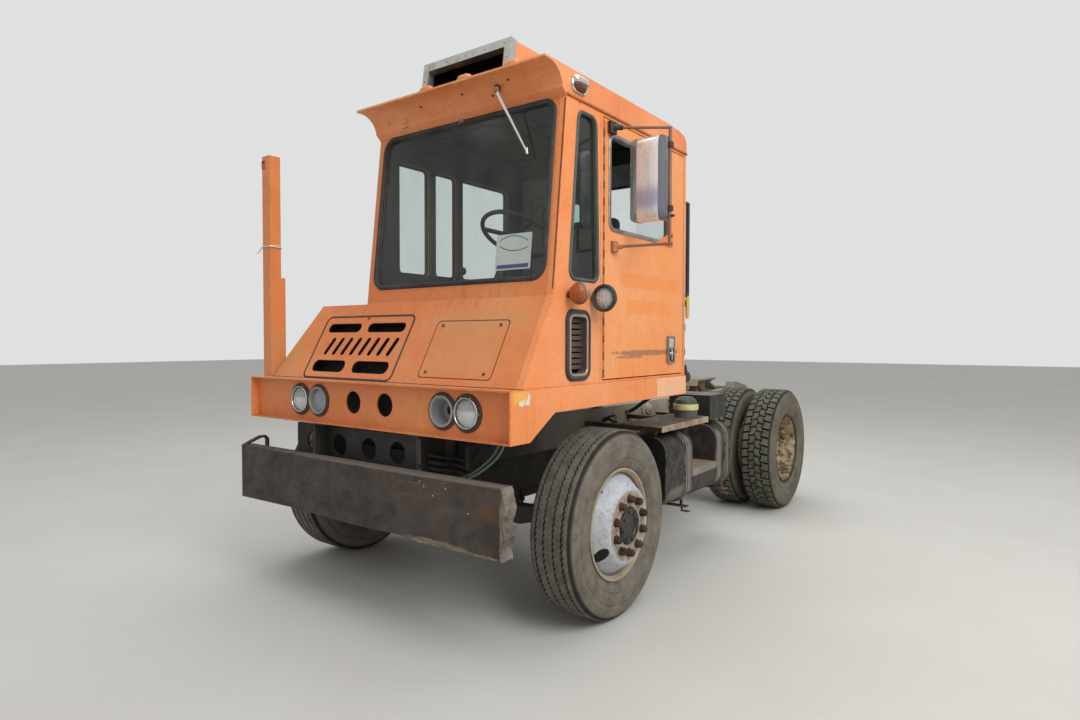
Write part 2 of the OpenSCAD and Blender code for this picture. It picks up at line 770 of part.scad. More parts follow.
// Step tank: two D-shaped ends round a step recess, held by straps
tank_x = [660, 1030];
tank_z = [405, 870];
tank_y = [780, 1180, 1600, 1880];
tank_r = 110;
tread_z = 600;
module tank_outline(grow) {
    polygon(rounded(rect(tank_x[0] - grow, tank_z[0] - grow, tank_x[1] + grow, tank_z[1] + grow),
                    tank_r + grow, 8));
}
module step_tank() {
    color("#353535") placed() {
        difference() {
            front_slab(tank_y[0], tank_y[3]) tank_outline(0);
            block([tank_x[0] + 130, tank_y[1], tread_z], [tank_x[1] + 1, tank_y[2], tank_z[1] + 1]);
        }
        for (y = [1055, 1750]) {
            front_slab(y, y + 50) difference() {
                tank_outline(8);
                tank_outline(-4);
            }
            block([rail_x, y, rail_bottom + 40], [tank_x[0] + 2, y + 50, rail_bottom + 80]);
        }
    }
}

// Deck plate over the step tank
deck = [720, 717, 1030, 1438];
deck_top = 945;
deck_joint = 1240;
module deck_plate() {
    color(dusty) placed() {
        for (y = [[deck[1], deck_joint], [deck_joint + panel_gap, deck[3]]]) {
            block([deck[0], y[0], deck_top - 12], [deck[2], y[1], deck_top]);
            block([deck[2] - 8, y[0], deck_top - 34], [deck[2], y[1], deck_top - 12]);
        }
        for (y = [deck[1] + 40, deck[3] - 100])
            block([rail_x, y, deck_top - 42], [deck[2] - 8, y + 50, deck_top - 12]);
        for (y = [tank_y[0] + 20, tank_y[1] - 60])
            block([tank_x[1] - 150, y, tank_z[1]], [tank_x[1] - 90, y + 30, deck_top - 12]);
    }
}

// Filter canister standing on the deck
canister = [905, deck_joint + 100];
module filter_canister() {
    color(black) placed() translate([canister[0], canister[1], deck_top]) rotate_extrude()
        polygon([[0, 0], [80, 0], [80, 50], [88, 54], [88, 92], [80, 96], [72, 122], [48, 142], [0, 148]]);
}

// Hydraulic tank behind the canister
module hydraulic_tank() {
    color(black) placed() {
        block([660, 1580, 910], [985, 1880, 1085]);
        for (y = [1600, 1810]) block([rail_x, y, 890], [900, y + 40, 910]);
    }
}

// Battery box and air tanks on the right
module battery_box() {
    color(black) placed() {
        block([-1010, 800, 560], [-560, 1420, 900]);
        for (y = [880, 1290]) block([-560, y, 780], [-rail_x, y + 50, 830]);
    }
}
module air_tanks() {
    color(dusty) placed() {
        for (z = [560, 830]) rod_y(1500, 2200, -620, z, 120);
        for (y = [1600, 2040]) {
            block([-508, y, 540], [-492, y + 50, 880]);
            block([-492, y, rail_bottom + 60], [-rail_x, y + 50, rail_bottom + 110]);
        }
    }
}

// Front axle beam with its spring seats and the eyes for the kingpins
beam_z = front_axle_z - 40;
module front_axle() {
    color(dusty) placed() {
        front_slab(-45, 45) polygon([
            [-kingpin_x, front_axle_z - 45], [-kingpin_x, front_axle_z + 45], [-620, front_axle_z + 25],
            [-500, beam_z + 50], [500, beam_z + 50], [620, front_axle_z + 25], [kingpin_x, front_axle_z + 45],
            [kingpin_x, front_axle_z - 45], [760, front_axle_z - 45], [620, front_axle_z - 60],
            [500, beam_z - 55], [-500, beam_z - 55], [-620, front_axle_z - 60], [-760, front_axle_z - 45]
        ]);
        both_sides() translate([kingpin_x, 0, front_axle_z - 45]) cylinder(h = 90, r = 48);
        both_sides() translate([kingpin_x, 0, front_axle_z - 106]) cylinder(h = 212, r = kingpin_r);
        both_sides() block([spring_x - 45, -90, beam_z + 50], [spring_x + 45, 90, beam_z + 70]);
    }
}

// Front leaf springs
spring_half = 520;
module leaf_springs() {
    low = spring_x - spring_w / 2;
    high = spring_x + spring_w / 2;
    color(rusty) placed() both_sides() {
        for (i = [0:3]) block([low, -spring_half + i * 110, beam_z + 70 + i * 16],
                              [high, spring_half - i * 110, beam_z + 86 + i * 16]);
        for (y = [-spring_half - 20, spring_half - 40])
            block([low, y, beam_z + 70], [high, y + 60, rail_bottom]);
    }
}

// Steering knuckle: yoke round the beam's end, spindle and steering arm
arm_y = 190;
tie_pin = [kingpin_x, arm_y];
module knuckle() {
    difference() {
        union() {
            translate([kingpin_x, 0, front_axle_z + 48]) cylinder(h = 60, r = 50);
            translate([kingpin_x, 0, front_axle_z - 108]) cylinder(h = 60, r = 50);
            block([kingpin_x + 52, -70, front_axle_z - 108], [kingpin_x + 86, 70, front_axle_z + 108]);
            block([kingpin_x, -50, front_axle_z + 48], [kingpin_x + 60, 50, front_axle_z + 108]);
            block([kingpin_x, -50, front_axle_z - 108], [kingpin_x + 60, 50, front_axle_z - 48]);
        }
        translate([kingpin_x, 0, front_axle_z - 120]) cylinder(h = 240, r = kingpin_r + run_gap);
    }
    rod_x(kingpin_x + 86, kingpin_x + 100, 0, front_axle_z, 150);
    rod_x(kingpin_x + 80, front_track_half + hub_face + 20, 0, front_axle_z, spindle_r);
    steering_arm();
}
module steering_arm() {
    plan = [[kingpin_x - 40, 0], [kingpin_x + 40, 0], [tie_pin[0] + 28, arm_y + 30],
            [tie_pin[0] - 28, arm_y + 30]];
    translate([0, 0, front_axle_z - 108]) linear_extrude(26) difference() {
        polygon(plan);
        translate([tie_pin[0], tie_pin[1]]) circle(r = 12 + run_gap);
        translate([kingpin_x, 0]) circle(r = kingpin_r + run_gap);
    }
}
module knuckle_left() {
    color(dusty) placed() knuckle();
}
module knuckle_right() {
    color(dusty) placed() mirror([1, 0, 0]) knuckle();
}

// Tie rod between the two steering arms
module tie_rod() {
    color(dusty) placed() {
        rod_x(-tie_pin[0] + 24, tie_pin[0] - 24, tie_pin[1], front_axle_z - 138, 16);
        both_sides() translate([tie_pin[0], tie_pin[1], 0]) {
            translate([0, 0, front_axle_z - 160]) cylinder(h = 44, r = 30);
            translate([0, 0, front_axle_z - 120]) cylinder(h = 36, r = 12);
        }
    }
}

// Front tyre: four grooves round the tread; the axis is X and the middle is zero
groove_x = [-82, -28, 28, 82];
module tyre(r, grooves) {
    w = tyre_w / 2;
    rotate([0, 90, 0]) rotate_extrude($fn = 72) difference() {
        polygon([
            [rim_flange_r + 1, -107], [rim_seat_r + seat_gap, -100], [rim_seat_r + seat_gap, 100],
            [rim_flange_r + 1, 107], [rim_flange_r + 14, 118],
            [rim_flange_r + 50, 132], [r - 110, w], [r - 50, w - 6], [r - 14, w - 24], [r, w - 44],
            [r, -w + 44], [r - 14, -w + 24], [r - 50, -w + 6], [r - 110, -w], [rim_flange_r + 50, -132],
            [rim_flange_r + 14, -118]
        ]);
        if (grooves) for (x = groove_x) translate([r - 12, x - 5]) square([20, 10]);
    }
}

// Disc rim: flanged barrel and dished disc; the disc's mounting face is at disc_x
module rim(disc_x) {
    difference() {
        rotate([0, 90, 0]) rotate_extrude($fn = 72) polygon([
            [rim_flange_r, -rim_half_w], [rim_flange_r, -108], [rim_seat_r, -103], [rim_seat_r, 103],
            [rim_flange_r, 108], [rim_flange_r, rim_half_w], [288, rim_half_w], [275, 100], [275, 74],
            [200, disc_x], [115, disc_x], [115, disc_x - 12], [194, disc_x - 12], [264, 64], [275, 40],
            [275, -100], [288, -rim_half_w]
        ]);
        for (a = [40, 220]) rotate([a, 0, 0]) translate([0, 0, 236]) rotate([0, 90, 0])
            cylinder(h = 200, r = 22);
    }
}
module nuts(x) {
    for (k = [0:9]) rotate([36 * k, 0, 0]) translate([x - 1, 0, stud_circle_r]) rotate([0, 90, 0])
        cylinder(h = 30, r = 18, $fn = 6);
}
module front_rim() {
    rim(hub_face);
    nuts(hub_face);
    rotate([0, 90, 0]) rotate_extrude() polygon([
        [spindle_r + run_gap, drum_inner], [drum_r, drum_inner], [drum_r, hub_face - 16],
        [116, hub_face - 10],
        [116, hub_face + 4], [90, hub_face + 4], [84, hub_reach - 14], [64, hub_reach - 14],
        [60, hub_reach], [0, hub_reach], [0, hub_face + 26], [spindle_r + run_gap, hub_face + 26]
    ]);
}

module front_wheel_place(side) {
    placed() mirror([side < 0 ? 1 : 0, 0, 0]) translate([front_track_half, 0, front_axle_z]) children();
}
module front_tyre_left() {
    color(black) front_wheel_place(1) tyre(front_axle_z, true);
}
module front_tyre_right() {
    color(black) front_wheel_place(-1) tyre(front_axle_z, true);
}
module front_rim_left() {
    color(silver) front_wheel_place(1) front_rim();
}
module front_rim_right() {
    color(silver) front_wheel_place(-1) front_rim();
}

// Twin rear wheels on one hub
module rear_wheel_place(side) {
    placed() mirror([side < 0 ? 1 : 0, 0, 0]) translate([0, wheelbase, rear_axle_z]) children();
}
module twin_tyres() {
    for (x = [rear_outer_half, rear_outer_half - twin_spacing]) translate([x, 0, 0]) tyre(rear_axle_z, false);
}
module twin_rims() {
    inner = rear_outer_half - twin_spacing;
    mate = (rear_outer_half + inner) / 2;
    translate([rear_outer_half, 0, 0]) mirror([1, 0, 0]) rim(twin_spacing / 2);
    translate([inner, 0, 0]) rim(twin_spacing / 2);
    nuts(mate + 12);
    rotate([0, 90, 0]) rotate_extrude() polygon([
        [axle_r + run_gap, mate - 150], [drum_r, mate - 150], [drum_r, mate - 13], [115, mate - 13],
        [115, mate + 14], [95, mate + 60], [90, mate + 190], [0, mate + 196], [0, mate + 60],
        [axle_r + run_gap, mate + 60]
    ]);
}
module rear_tyres_left() {
    color(black) rear_wheel_place(1) twin_tyres();
}
module rear_tyres_right() {
    color(black) rear_wheel_place(-1) twin_tyres();
}
module rear_rims_left() {
    color("wheat") rear_wheel_place(1) twin_rims();
}
module rear_rims_right() {
    color("wheat") rear_wheel_place(-1) twin_rims();
}

// Rear axle: tube, differential and the seats that carry the frame
axle_r = 62;
pinion_reach = 330;
pinion_z = rear_axle_z + 20;
module rear_axle() {
    mate = rear_outer_half - twin_spacing / 2;
    color(dusty) placed() {
        rod_x(-mate - 50, mate + 50, wheelbase, rear_axle_z, axle_r);
        translate([0, wheelbase, rear_axle_z]) rotate([0, 90, 0]) rotate_extrude()
            polygon([[0, -120], [120, -110], [185, -60], [185, 60], [120, 110], [0, 120]]);
        rod_y(wheelbase - pinion_reach, wheelbase, 0, pinion_z, 90);
        both_sides() block([rail_x - 80, wheelbase - 80, rear_axle_z], [rail_x, wheelbase + 80, rail_bottom]);
    }
}
module propshaft() {
    front = gearbox_end + seat_gap;
    rear = wheelbase - pinion_reach - seat_gap;
    color(dusty) placed() {
        rod_y(front, front + 16, 0, gearbox_z, 58);
        rod_y(rear - 16, rear, 0, pinion_z, 58);
        bar([0, front + 12, gearbox_z], [0, rear - 12, pinion_z], 45);
    }
}

// Ramps at the end of the frame that guide a trailer up
module rear_ramp() {
    color(dusty) placed() both_sides() side_slab(rail_x - 90, rail_x) polygon([
        [rear_y - 388, rail_top], [rear_y - 10, rail_top], [rear_y - 30, rail_top + 12],
        [rear_y - 300, rail_top + 62], [rear_y - 350, rail_top + 62]
    ]);
}

// Left door with its window cut; it turns on the hinge line at its front edge
door_window = [67, 2100, 797, 2600];
pane_front_y = 410;
module left_door() {
    color(orange) placed() {
        side_slab(cab_left_x - wall_t, cab_left_x) difference() {
            polygon(rect(door_box[0], door_box[1], door_box[2], door_box[3]));
            window_outline(door_window, 0);
        }
        block([cab_left_x, 770, 1350], [cab_left_x + 12, 850, 1510]);
    }
}
module door_glass() {
    color("lightblue", 0.4) placed() side_slab(cab_left_x - 24, cab_left_x - 18)
        polygon(rounded(rect(pane_front_y, door_window[1] + seat_gap, door_window[2] - seat_gap,
                             door_window[3] - seat_gap), 40));
}

// Mirror on its tube frame, carried by the door
mirror_box = [1088, 190, 2142, 1308, 246, 2592];
arm_x = mirror_out - 9;
// Each arm: place of its foot along the door, height there, height at the upright
arm_feet = [[60, 2640, 2630], [100, 2000, 2010]];
module mirror_face(inset) {
    polygon(rounded(rect(mirror_box[0] + inset, mirror_box[2] + inset, mirror_box[3] - inset,
                         mirror_box[5] - inset), 28 - inset / 2));
}
module door_mirror() {
    color(silver) placed() {
        difference() {
            front_slab(mirror_box[1], mirror_box[4]) mirror_face(0);
            front_slab(mirror_box[4] - 12, mirror_box[4] + 1) mirror_face(8);
        }
        bar([arm_x, 218, 2010], [arm_x, 218, 2630], 9);
        for (foot = arm_feet) {
            bar([cab_left_x + 6, foot[0], foot[1]], [arm_x, 218, foot[2]], 8);
            block([cab_left_x, foot[0] - 24, foot[1] - 30], [cab_left_x + 10, foot[0] + 24, foot[1] + 30]);
        }
        for (z = [2010, 2630]) translate([arm_x, 218, z]) sphere(r = 10);
        for (z = [2200, 2540]) rod_x(mirror_box[3] - 1, arm_x, 218, z, 7);
    }
}

// Rear sliding door, hung outside the rear wall
module rear_door() {
    color(orange) placed() {
        front_slab(cab_rear_y + 6, cab_rear_y + 34) difference() {
            polygon(rect(rear_doorway[0] - 30, track_z + seat_gap, rear_doorway[2] + 30,
                         rear_doorway[3] + 30));
            window_outline([rear_doorway[0] + 90, 1980, rear_doorway[2] - 90, rear_doorway[3] - 60], 0);
        }
    }
}

// Boom: two beams on the hinge tube, with a cross head under the fifth wheel
boom_pin_r = 32;
lift_foot_r = 24;
lift_pin_r = 20;
eye_bore_r = 33;
beam_x = [250, 318];
pivot_y = wheelbase - pivot_ahead;
pivot_z = 1050;
pivot_r = 22;
lift_top = [pivot_y - 210, pivot_z - 145];
lift_foot = lift_top - [500, 265];
lift_x = 150;
barrel_start = 62;
module boom() {
    color("tan") placed() {
        both_sides() difference() {
            side_slab(beam_x[0], beam_x[1]) polygon([
                [boom_pin_y - 60, boom_pin_z - 55], [boom_pin_y - 60, boom_pin_z + 34],
                [boom_pin_y + 30, boom_pin_z + 50], [pivot_y - 150, 992], [pivot_y - 60, pivot_z + 30],
                [pivot_y + 60, pivot_z + 30], [pivot_y + 130, 1000], [pivot_y + 130, 890],
                [boom_pin_y + 200, 860]
            ]);
            rod_x(beam_x[0] - 1, beam_x[1] + 1, pivot_y, pivot_z, pivot_r + run_gap);
        }
        rod_x(-rail_x - 26, rail_x + 26, boom_pin_y, boom_pin_z, boom_pin_r);
        block([-beam_x[0], boom_pin_y + 284, 900], [beam_x[0], boom_pin_y + 384, 990]);
        block([-beam_x[0], pivot_y + 30, 900], [beam_x[0], pivot_y + 110, 990]);
        rod_x(-beam_x[0], beam_x[0], lift_top[0], lift_top[1], lift_pin_r);
    }
}

// Fifth wheel: flat plate with a throat and two sloping horns, tilting on its pivot
plate_t = 16;
plate_front = 370;
plate_rear = 440;
horn_x = 330;
horn_drop = 130;
lip_drop = 62;
module fifth_wheel() {
    half = plate_w / 2;
    color("tan") placed() {
        intersection() {
            translate([0, pivot_y, plate_top - 300]) linear_extrude(400) difference() {
                polygon([[-half, -plate_front - 30], [half, -plate_front - 30], [half, 40], [horn_x, 170],
                         [horn_x - 30, plate_rear], [-horn_x + 30, plate_rear], [-horn_x, 170], [-half, 40]]);
                circle(r = 45);
                polygon([[-45, 0], [45, 0], [160, plate_rear + 20], [-160, plate_rear + 20]]);
            }
            side_slab(-half - 1, half + 1) translate([pivot_y, plate_top]) polygon([
                [-plate_front - 24, -lip_drop], [-plate_front, 0], [60, 0], [plate_rear + 2, -horn_drop],
                [plate_rear + 2, -horn_drop - plate_t - 2], [57, -plate_t],
                [-plate_front + 10, -plate_t], [-plate_front - 10, -lip_drop]
            ]);
        }
        both_sides() {
            side_slab(beam_x[1] + 6, beam_x[1] + 22) polygon([
                [pivot_y - 200, plate_top - plate_t], [pivot_y + 50, plate_top - plate_t],
                [pivot_y + 36, pivot_z - 30], [pivot_y - 36, pivot_z - 30]
            ]);
            rod_x(beam_x[0] - 12, beam_x[1] + 22, pivot_y, pivot_z, pivot_r);
        }
    }
}

// Lift cylinders, one each side, from the frame to the boom's cross shaft
lift_d = [lift_top[0] - lift_foot[0], lift_top[1] - lift_foot[1]];
lift_len = norm(lift_d);
lift_angle = atan2(lift_d[1], lift_d[0]);
module lift_place(x) {
    translate([x, lift_foot[0], lift_foot[1]]) rotate([lift_angle, 0, 0]) children();
}
module lift_barrels() {
    color(black) placed() for (x = [-lift_x, lift_x]) lift_place(x) difference() {
        union() {
            rod_y(barrel_start, lift_len - 120, 0, 0, 52);
            rod_x(-28, 28, 0, 0, 42);
            block([-28, 0, -34], [28, barrel_start + 1, 34]);
        }
        rod_y(90, lift_len, 0, 0, 30 + run_gap);
        rod_x(-40, 40, 0, 0, lift_foot_r + run_gap);
    }
}
module lift_rods() {
    color(silver) placed() for (x = [-lift_x, lift_x]) lift_place(x) difference() {
        union() {
            rod_y(130, lift_len - 40, 0, 0, 30);
            rod_x(-28, 28, lift_len, 0, 50);
        }
        rod_x(-40, 40, lift_len, 0, eye_bore_r);
    }
}

frame_rails();
crossmembers();
bumper();
guard_plate();
fascia_pan();
fascia_skirt();
lamp_buckets();
lamp_lenses();
amber_lamps();
hood();
grille_panel();
access_panel();
engine_block();
radiator();
cab_floor();
cab_front();
cab_left();
cab_right();
cab_rear();
cab_roof();
cab_glass();
roof_box();
dash();
steering_wheel();
seat_base();
seat_cushions();
vent_louvre();
corner_post();
grab_rail();
air_hose();
step_tank();
deck_plate();
filter_canister();
hydraulic_tank();
battery_box();
air_tanks();
front_axle();
leaf_springs();
rear_axle();
propshaft();
rear_ramp();
left_door();
door_glass();
door_mirror();
rear_door();
boom();
fifth_wheel();
lift_barrels();
lift_rods();
tie_rod();
knuckle_left();
knuckle_right();
front_tyre_left();
front_rim_left();
front_tyre_right();
front_rim_right();
rear_tyres_left();
rear_rims_left();
rear_tyres_right();
rear_rims_right();
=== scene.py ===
"""Looks of the terminal tractor: finishes, tyres, trim, lamps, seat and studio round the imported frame."""

import logging
import math
from dataclasses import dataclass, field, replace
from enum import Enum
from functools import partial
from typing import Any, Iterable, Sequence

import bmesh
import bpy
import numpy as np
from mathutils import Matrix, Vector

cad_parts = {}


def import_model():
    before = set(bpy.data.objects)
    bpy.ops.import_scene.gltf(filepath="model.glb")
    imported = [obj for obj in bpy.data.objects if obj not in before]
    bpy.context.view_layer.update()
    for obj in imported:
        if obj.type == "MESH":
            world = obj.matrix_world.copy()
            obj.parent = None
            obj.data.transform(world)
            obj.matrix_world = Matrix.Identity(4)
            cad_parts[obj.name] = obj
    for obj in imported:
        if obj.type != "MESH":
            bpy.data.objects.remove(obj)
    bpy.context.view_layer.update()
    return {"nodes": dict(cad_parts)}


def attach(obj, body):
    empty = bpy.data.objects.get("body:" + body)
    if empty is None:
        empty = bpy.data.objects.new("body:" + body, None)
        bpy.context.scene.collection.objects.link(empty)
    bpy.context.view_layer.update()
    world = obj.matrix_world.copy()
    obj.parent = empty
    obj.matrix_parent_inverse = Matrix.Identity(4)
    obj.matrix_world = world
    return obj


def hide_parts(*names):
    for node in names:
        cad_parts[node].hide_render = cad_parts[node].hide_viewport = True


frame: dict[str, Any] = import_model()

log = logging.getLogger("tractor")
logging.basicConfig(level=logging.INFO, format="%(name)s: %(message)s")

Array = np.ndarray
Colour = str  # six hexadecimal digits of screen colour
Points = Array | Sequence[Sequence[float]]

# The vehicle's own axes have their zero at the front axle; the row frame has it under the middle.
MIDDLE_MM = np.array([65.0, 1512.0, 0.0])


def placed(points_mm: Array) -> Array:
    """Turns the vehicle's own millimetres into the row frame's metres: (point - middle) / 1000.

    Args:
        points_mm: Points, three numbers each, in the vehicle's axes.
    Returns:
        The same points in metres in the row frame.
    """
    return (np.asarray(points_mm, float) - MIDDLE_MM) / 1000.0


def tint(code: Colour) -> tuple[float, float, float]:
    """Turns a six-digit screen colour into linear light: ((c + 0.055) / 1.055) to the power 2.4.

    Args:
        code: Red, green and blue as six hexadecimal digits.
    Returns:
        The three linear values.
    """
    values = np.array([int(code[i:i + 2], 16) / 255 for i in (0, 2, 4)])
    linear = np.where(values <= 0.04045, values / 12.92, ((values + 0.055) / 1.055) ** 2.4)
    return tuple(float(v) for v in linear)


# Surfaces -----------------------------------------------------------------------------------------


@dataclass
class Surface:
    """Points in the vehicle's millimetres, with the quads and the many-sided caps that join them."""

    points: Array
    quads: Array
    caps: list[list[int]] = field(default_factory=list)

    def moved(self, offset: Sequence[float]) -> "Surface":
        """The same surface shifted by an offset."""
        return Surface(self.points + np.asarray(offset, float), self.quads, self.caps)

    def mirrored(self) -> "Surface":
        """The same surface on the other side of the vehicle's middle plane."""
        return Surface(self.points * [-1, 1, 1], self.quads[:, ::-1], [cap[::-1] for cap in self.caps])

    def copied(self, offsets: Array) -> "Surface":
        """One copy of the surface at each offset, all in one: points + offsets, by broadcasting."""
        offsets = np.asarray(offsets, float).reshape(-1, 3)
        count, size = len(offsets), len(self.points)
        points = (self.points[None] + offsets[:, None]).reshape(-1, 3)
        shifts = np.arange(count) * size
        quads = (self.quads[None] + shifts[:, None, None]).reshape(-1, 4)
        caps = [[i + int(s) for i in cap] for s in shifts for cap in self.caps]
        return Surface(points, quads, caps)


def joined(parts: Iterable[Surface]) -> Surface:
    """One surface out of several: points stacked, and faces shifted by the points before them.

    Args:
        parts: The surfaces.
    Returns:
        The joined surface.
    """
    points: list[Array] = []
    quads: list[Array] = []
    caps: list[list[int]] = []
    start = 0
    for part in parts:
        points.append(part.points)
        quads.append(part.quads.reshape(-1, 4) + start)
        caps += [[i + start for i in cap] for cap in part.caps]
        start += len(part.points)
    return Surface(np.vstack(points), np.vstack(quads), caps)


def grid(points: Array, wrap_u: bool = False, wrap_v: bool = False, capped: bool = False) -> Surface:
    """Quads over a grid of points; each joins (i, j), (i+1, j), (i+1, j+1) and (i, j+1).

    Args:
        points: Array of nu x nv x 3.
        wrap_u: Joins the last row to the first.
        wrap_v: Joins the last column to the first.
        capped: Puts one face on the first row and one on the last.
    Returns:
        The surface.
    """
    nu, nv = points.shape[:2]
    index = np.arange(nu * nv).reshape(nu, nv)
    here = index if wrap_u else index[:-1]
    there = np.roll(index, -1, 0) if wrap_u else index[1:]
    if wrap_v:
        quads = np.stack([here, there, np.roll(there, -1, 1), np.roll(here, -1, 1)], -1)
    else:
        quads = np.stack([here[:, :-1], there[:, :-1], there[:, 1:], here[:, 1:]], -1)
    caps = [index[0][::-1].tolist(), index[-1].tolist()] if capped else []
    return Surface(points.reshape(-1, 3), quads.reshape(-1, 4), caps)


@dataclass(frozen=True)
class Plane:
    """A place to draw on: an origin, two directions in the plane and the direction out of it."""

    origin: tuple[float, float, float]
    across: tuple[float, float, float]
    up: tuple[float, float, float]

    @property
    def out(self) -> Array:
        """Direction out of the plane: across x up."""
        return np.cross(self.across, self.up)

    def at(self, flat: Any, out: Array | float = 0.0) -> Array:
        """Points of the plane: origin + u across + v up + w out.

        Args:
            flat: Pairs (u, v).
            out: Distance out of the plane, one number or one for each pair.
        Returns:
            The points in the vehicle's axes.
        """
        flat = np.asarray(flat, float)
        lift = np.broadcast_to(np.asarray(out, float), flat.shape[:-1])
        return (np.asarray(self.origin) + flat[..., :1] * np.asarray(self.across)
                + flat[..., 1:2] * np.asarray(self.up) + lift[..., None] * self.out)


def sloped(foot_y: float, foot_z: float, lean: float) -> Plane:
    """A plane facing forwards that leans back: up the slope is (0, sin lean, cos lean)."""
    return Plane((0, foot_y, foot_z), (1, 0, 0), (0, math.sin(lean), math.cos(lean)))


def facing_left(x: float) -> Plane:
    """The upright plane at x that faces the vehicle's left; its pairs are (y, z)."""
    return Plane((x, 0, 0), (0, 1, 0), (0, 0, 1))


def facing_right(x: float) -> Plane:
    """The upright plane at x that faces the vehicle's right; its pairs are (-y, z)."""
    return Plane((x, 0, 0), (0, -1, 0), (0, 0, 1))


def facing_front(y: float) -> Plane:
    """The upright plane at y that faces forwards; its pairs are (x, z)."""
    return Plane((0, y, 0), (1, 0, 0), (0, 0, 1))


def facing_back(y: float) -> Plane:
    """The upright plane at y that faces backwards; its pairs are (-x, z)."""
    return Plane((0, y, 0), (-1, 0, 0), (0, 0, 1))


def lying(z: float) -> Plane:
    """The level plane at z that faces up; its pairs are (x, y)."""
    return Plane((0, 0, z), (1, 0, 0), (0, 1, 0))


# Planes of the cab and the frame, from the same sizes as the solids; each foot and top is (y, z)
NOSE_FOOT, GLASS_FOOT, GLASS_TOP = (-711.0, 1258.0), (-463.0, 1709.0), (-353.0, 2700.0)
NOSE_LEAN = math.atan2(GLASS_FOOT[0] - NOSE_FOOT[0], GLASS_FOOT[1] - NOSE_FOOT[1])
GLASS_LEAN = math.atan2(GLASS_TOP[0] - GLASS_FOOT[0], GLASS_TOP[1] - GLASS_FOOT[1])
NOSE = sloped(*NOSE_FOOT, NOSE_LEAN)
GLASS = sloped(*GLASS_FOOT, GLASS_LEAN)
LEFT, RIGHT, RAIL = facing_left(1032.0), facing_right(-347.0), facing_left(430.0)
FASCIA, BUMPER_FACE = facing_front(-765.0), facing_front(-864.0)
REAR, REAR_DOOR = facing_back(1035.0), facing_back(1069.0)


def up_glass(z: Points | float) -> Any:
    """Distance up the windshield's slope for a height: (height - foot) / cos lean."""
    return (np.asarray(z, float) - GLASS_FOOT[1]) / math.cos(GLASS_LEAN)


def up_nose(z: Points | float) -> Any:
    """Distance up the nose's slope for a height: (height - foot) / cos lean."""
    return (np.asarray(z, float) - NOSE_FOOT[1]) / math.cos(NOSE_LEAN)


def rounded(corners: Points, radius: float, steps: int = 6) -> Array:
    """An outline with every corner rounded: an arc of the radius touching both sides of each corner.

    Args:
        corners: Corner points (n x 2), in order.
        radius: Radius of the arcs.
        steps: Steps in each arc.
    Returns:
        The outline's points.
    """
    b = np.asarray(corners, float)
    to_a, to_c = np.roll(b, 1, 0) - b, np.roll(b, -1, 0) - b
    to_a /= np.linalg.norm(to_a, axis=1, keepdims=True)
    to_c /= np.linalg.norm(to_c, axis=1, keepdims=True)
    half = np.arccos(np.clip((to_a * to_c).sum(1), -1, 1)) / 2
    middle = to_a + to_c
    middle /= np.linalg.norm(middle, axis=1, keepdims=True)
    centre = b + middle * (radius / np.sin(half))[:, None]
    start = b + to_a * (radius / np.tan(half))[:, None] - centre
    end = b + to_c * (radius / np.tan(half))[:, None] - centre
    first = np.arctan2(start[:, 1], start[:, 0])
    turn = (np.arctan2(end[:, 1], end[:, 0]) - first + 3 * np.pi) % (2 * np.pi) - np.pi
    angle = first[:, None] + turn[:, None] * np.linspace(0, 1, steps + 1)[None]
    return (centre[:, None] + radius * np.stack([np.cos(angle), np.sin(angle)], -1)).reshape(-1, 2)


def box_outline(x0: float, z0: float, x1: float, z1: float) -> Array:
    """Corners of an upright rectangle, anticlockwise."""
    return np.array([[x0, z0], [x1, z0], [x1, z1], [x0, z1]], float)


def rounded_box(x0: float, z0: float, x1: float, z1: float, radius: float, steps: int = 6) -> Array:
    """An upright rectangle with rounded corners, anticlockwise."""
    return rounded(box_outline(x0, z0, x1, z1), radius, steps)


def swept(path: Points, profile: Points, out: Sequence[float], closed: bool = False,
          widths: Array | None = None) -> Surface:
    """A profile carried along a path: point = path + side * width * profile_u + outward * profile_v.

    The side is tangent x out, and outward is side x tangent, so the profile stays square to the path.

    Args:
        path: Points of the path (n x 3).
        profile: Closed outline (m x 2) of (side, outward).
        out: A direction that is never along the path.
        closed: True for a ring.
        widths: Width of the profile at each point of the path, as a multiple of its own; 1 without them.
    Returns:
        A closed surface.
    """
    path = np.asarray(path, float)
    if closed:
        along = np.roll(path, -1, 0) - np.roll(path, 1, 0)
    else:
        along = np.gradient(path, axis=0)
    along /= np.linalg.norm(along, axis=1, keepdims=True)
    side = np.cross(along, np.asarray(out, float))
    side /= np.linalg.norm(side, axis=1, keepdims=True)
    outward = np.cross(side, along)
    profile = np.asarray(profile, float)
    across = profile[None, :, :1] * (1.0 if widths is None else widths[:, None, None])
    points = path[:, None] + side[:, None] * across + outward[:, None] * profile[None, :, 1:2]
    return grid(points, wrap_u=closed, wrap_v=True, capped=not closed)


def circle(radius: float, sides: int = 10) -> Array:
    """Points of a circle (sides x 2)."""
    angle = np.arange(sides) * 2 * np.pi / sides
    return radius * np.stack([np.cos(angle), np.sin(angle)], 1)


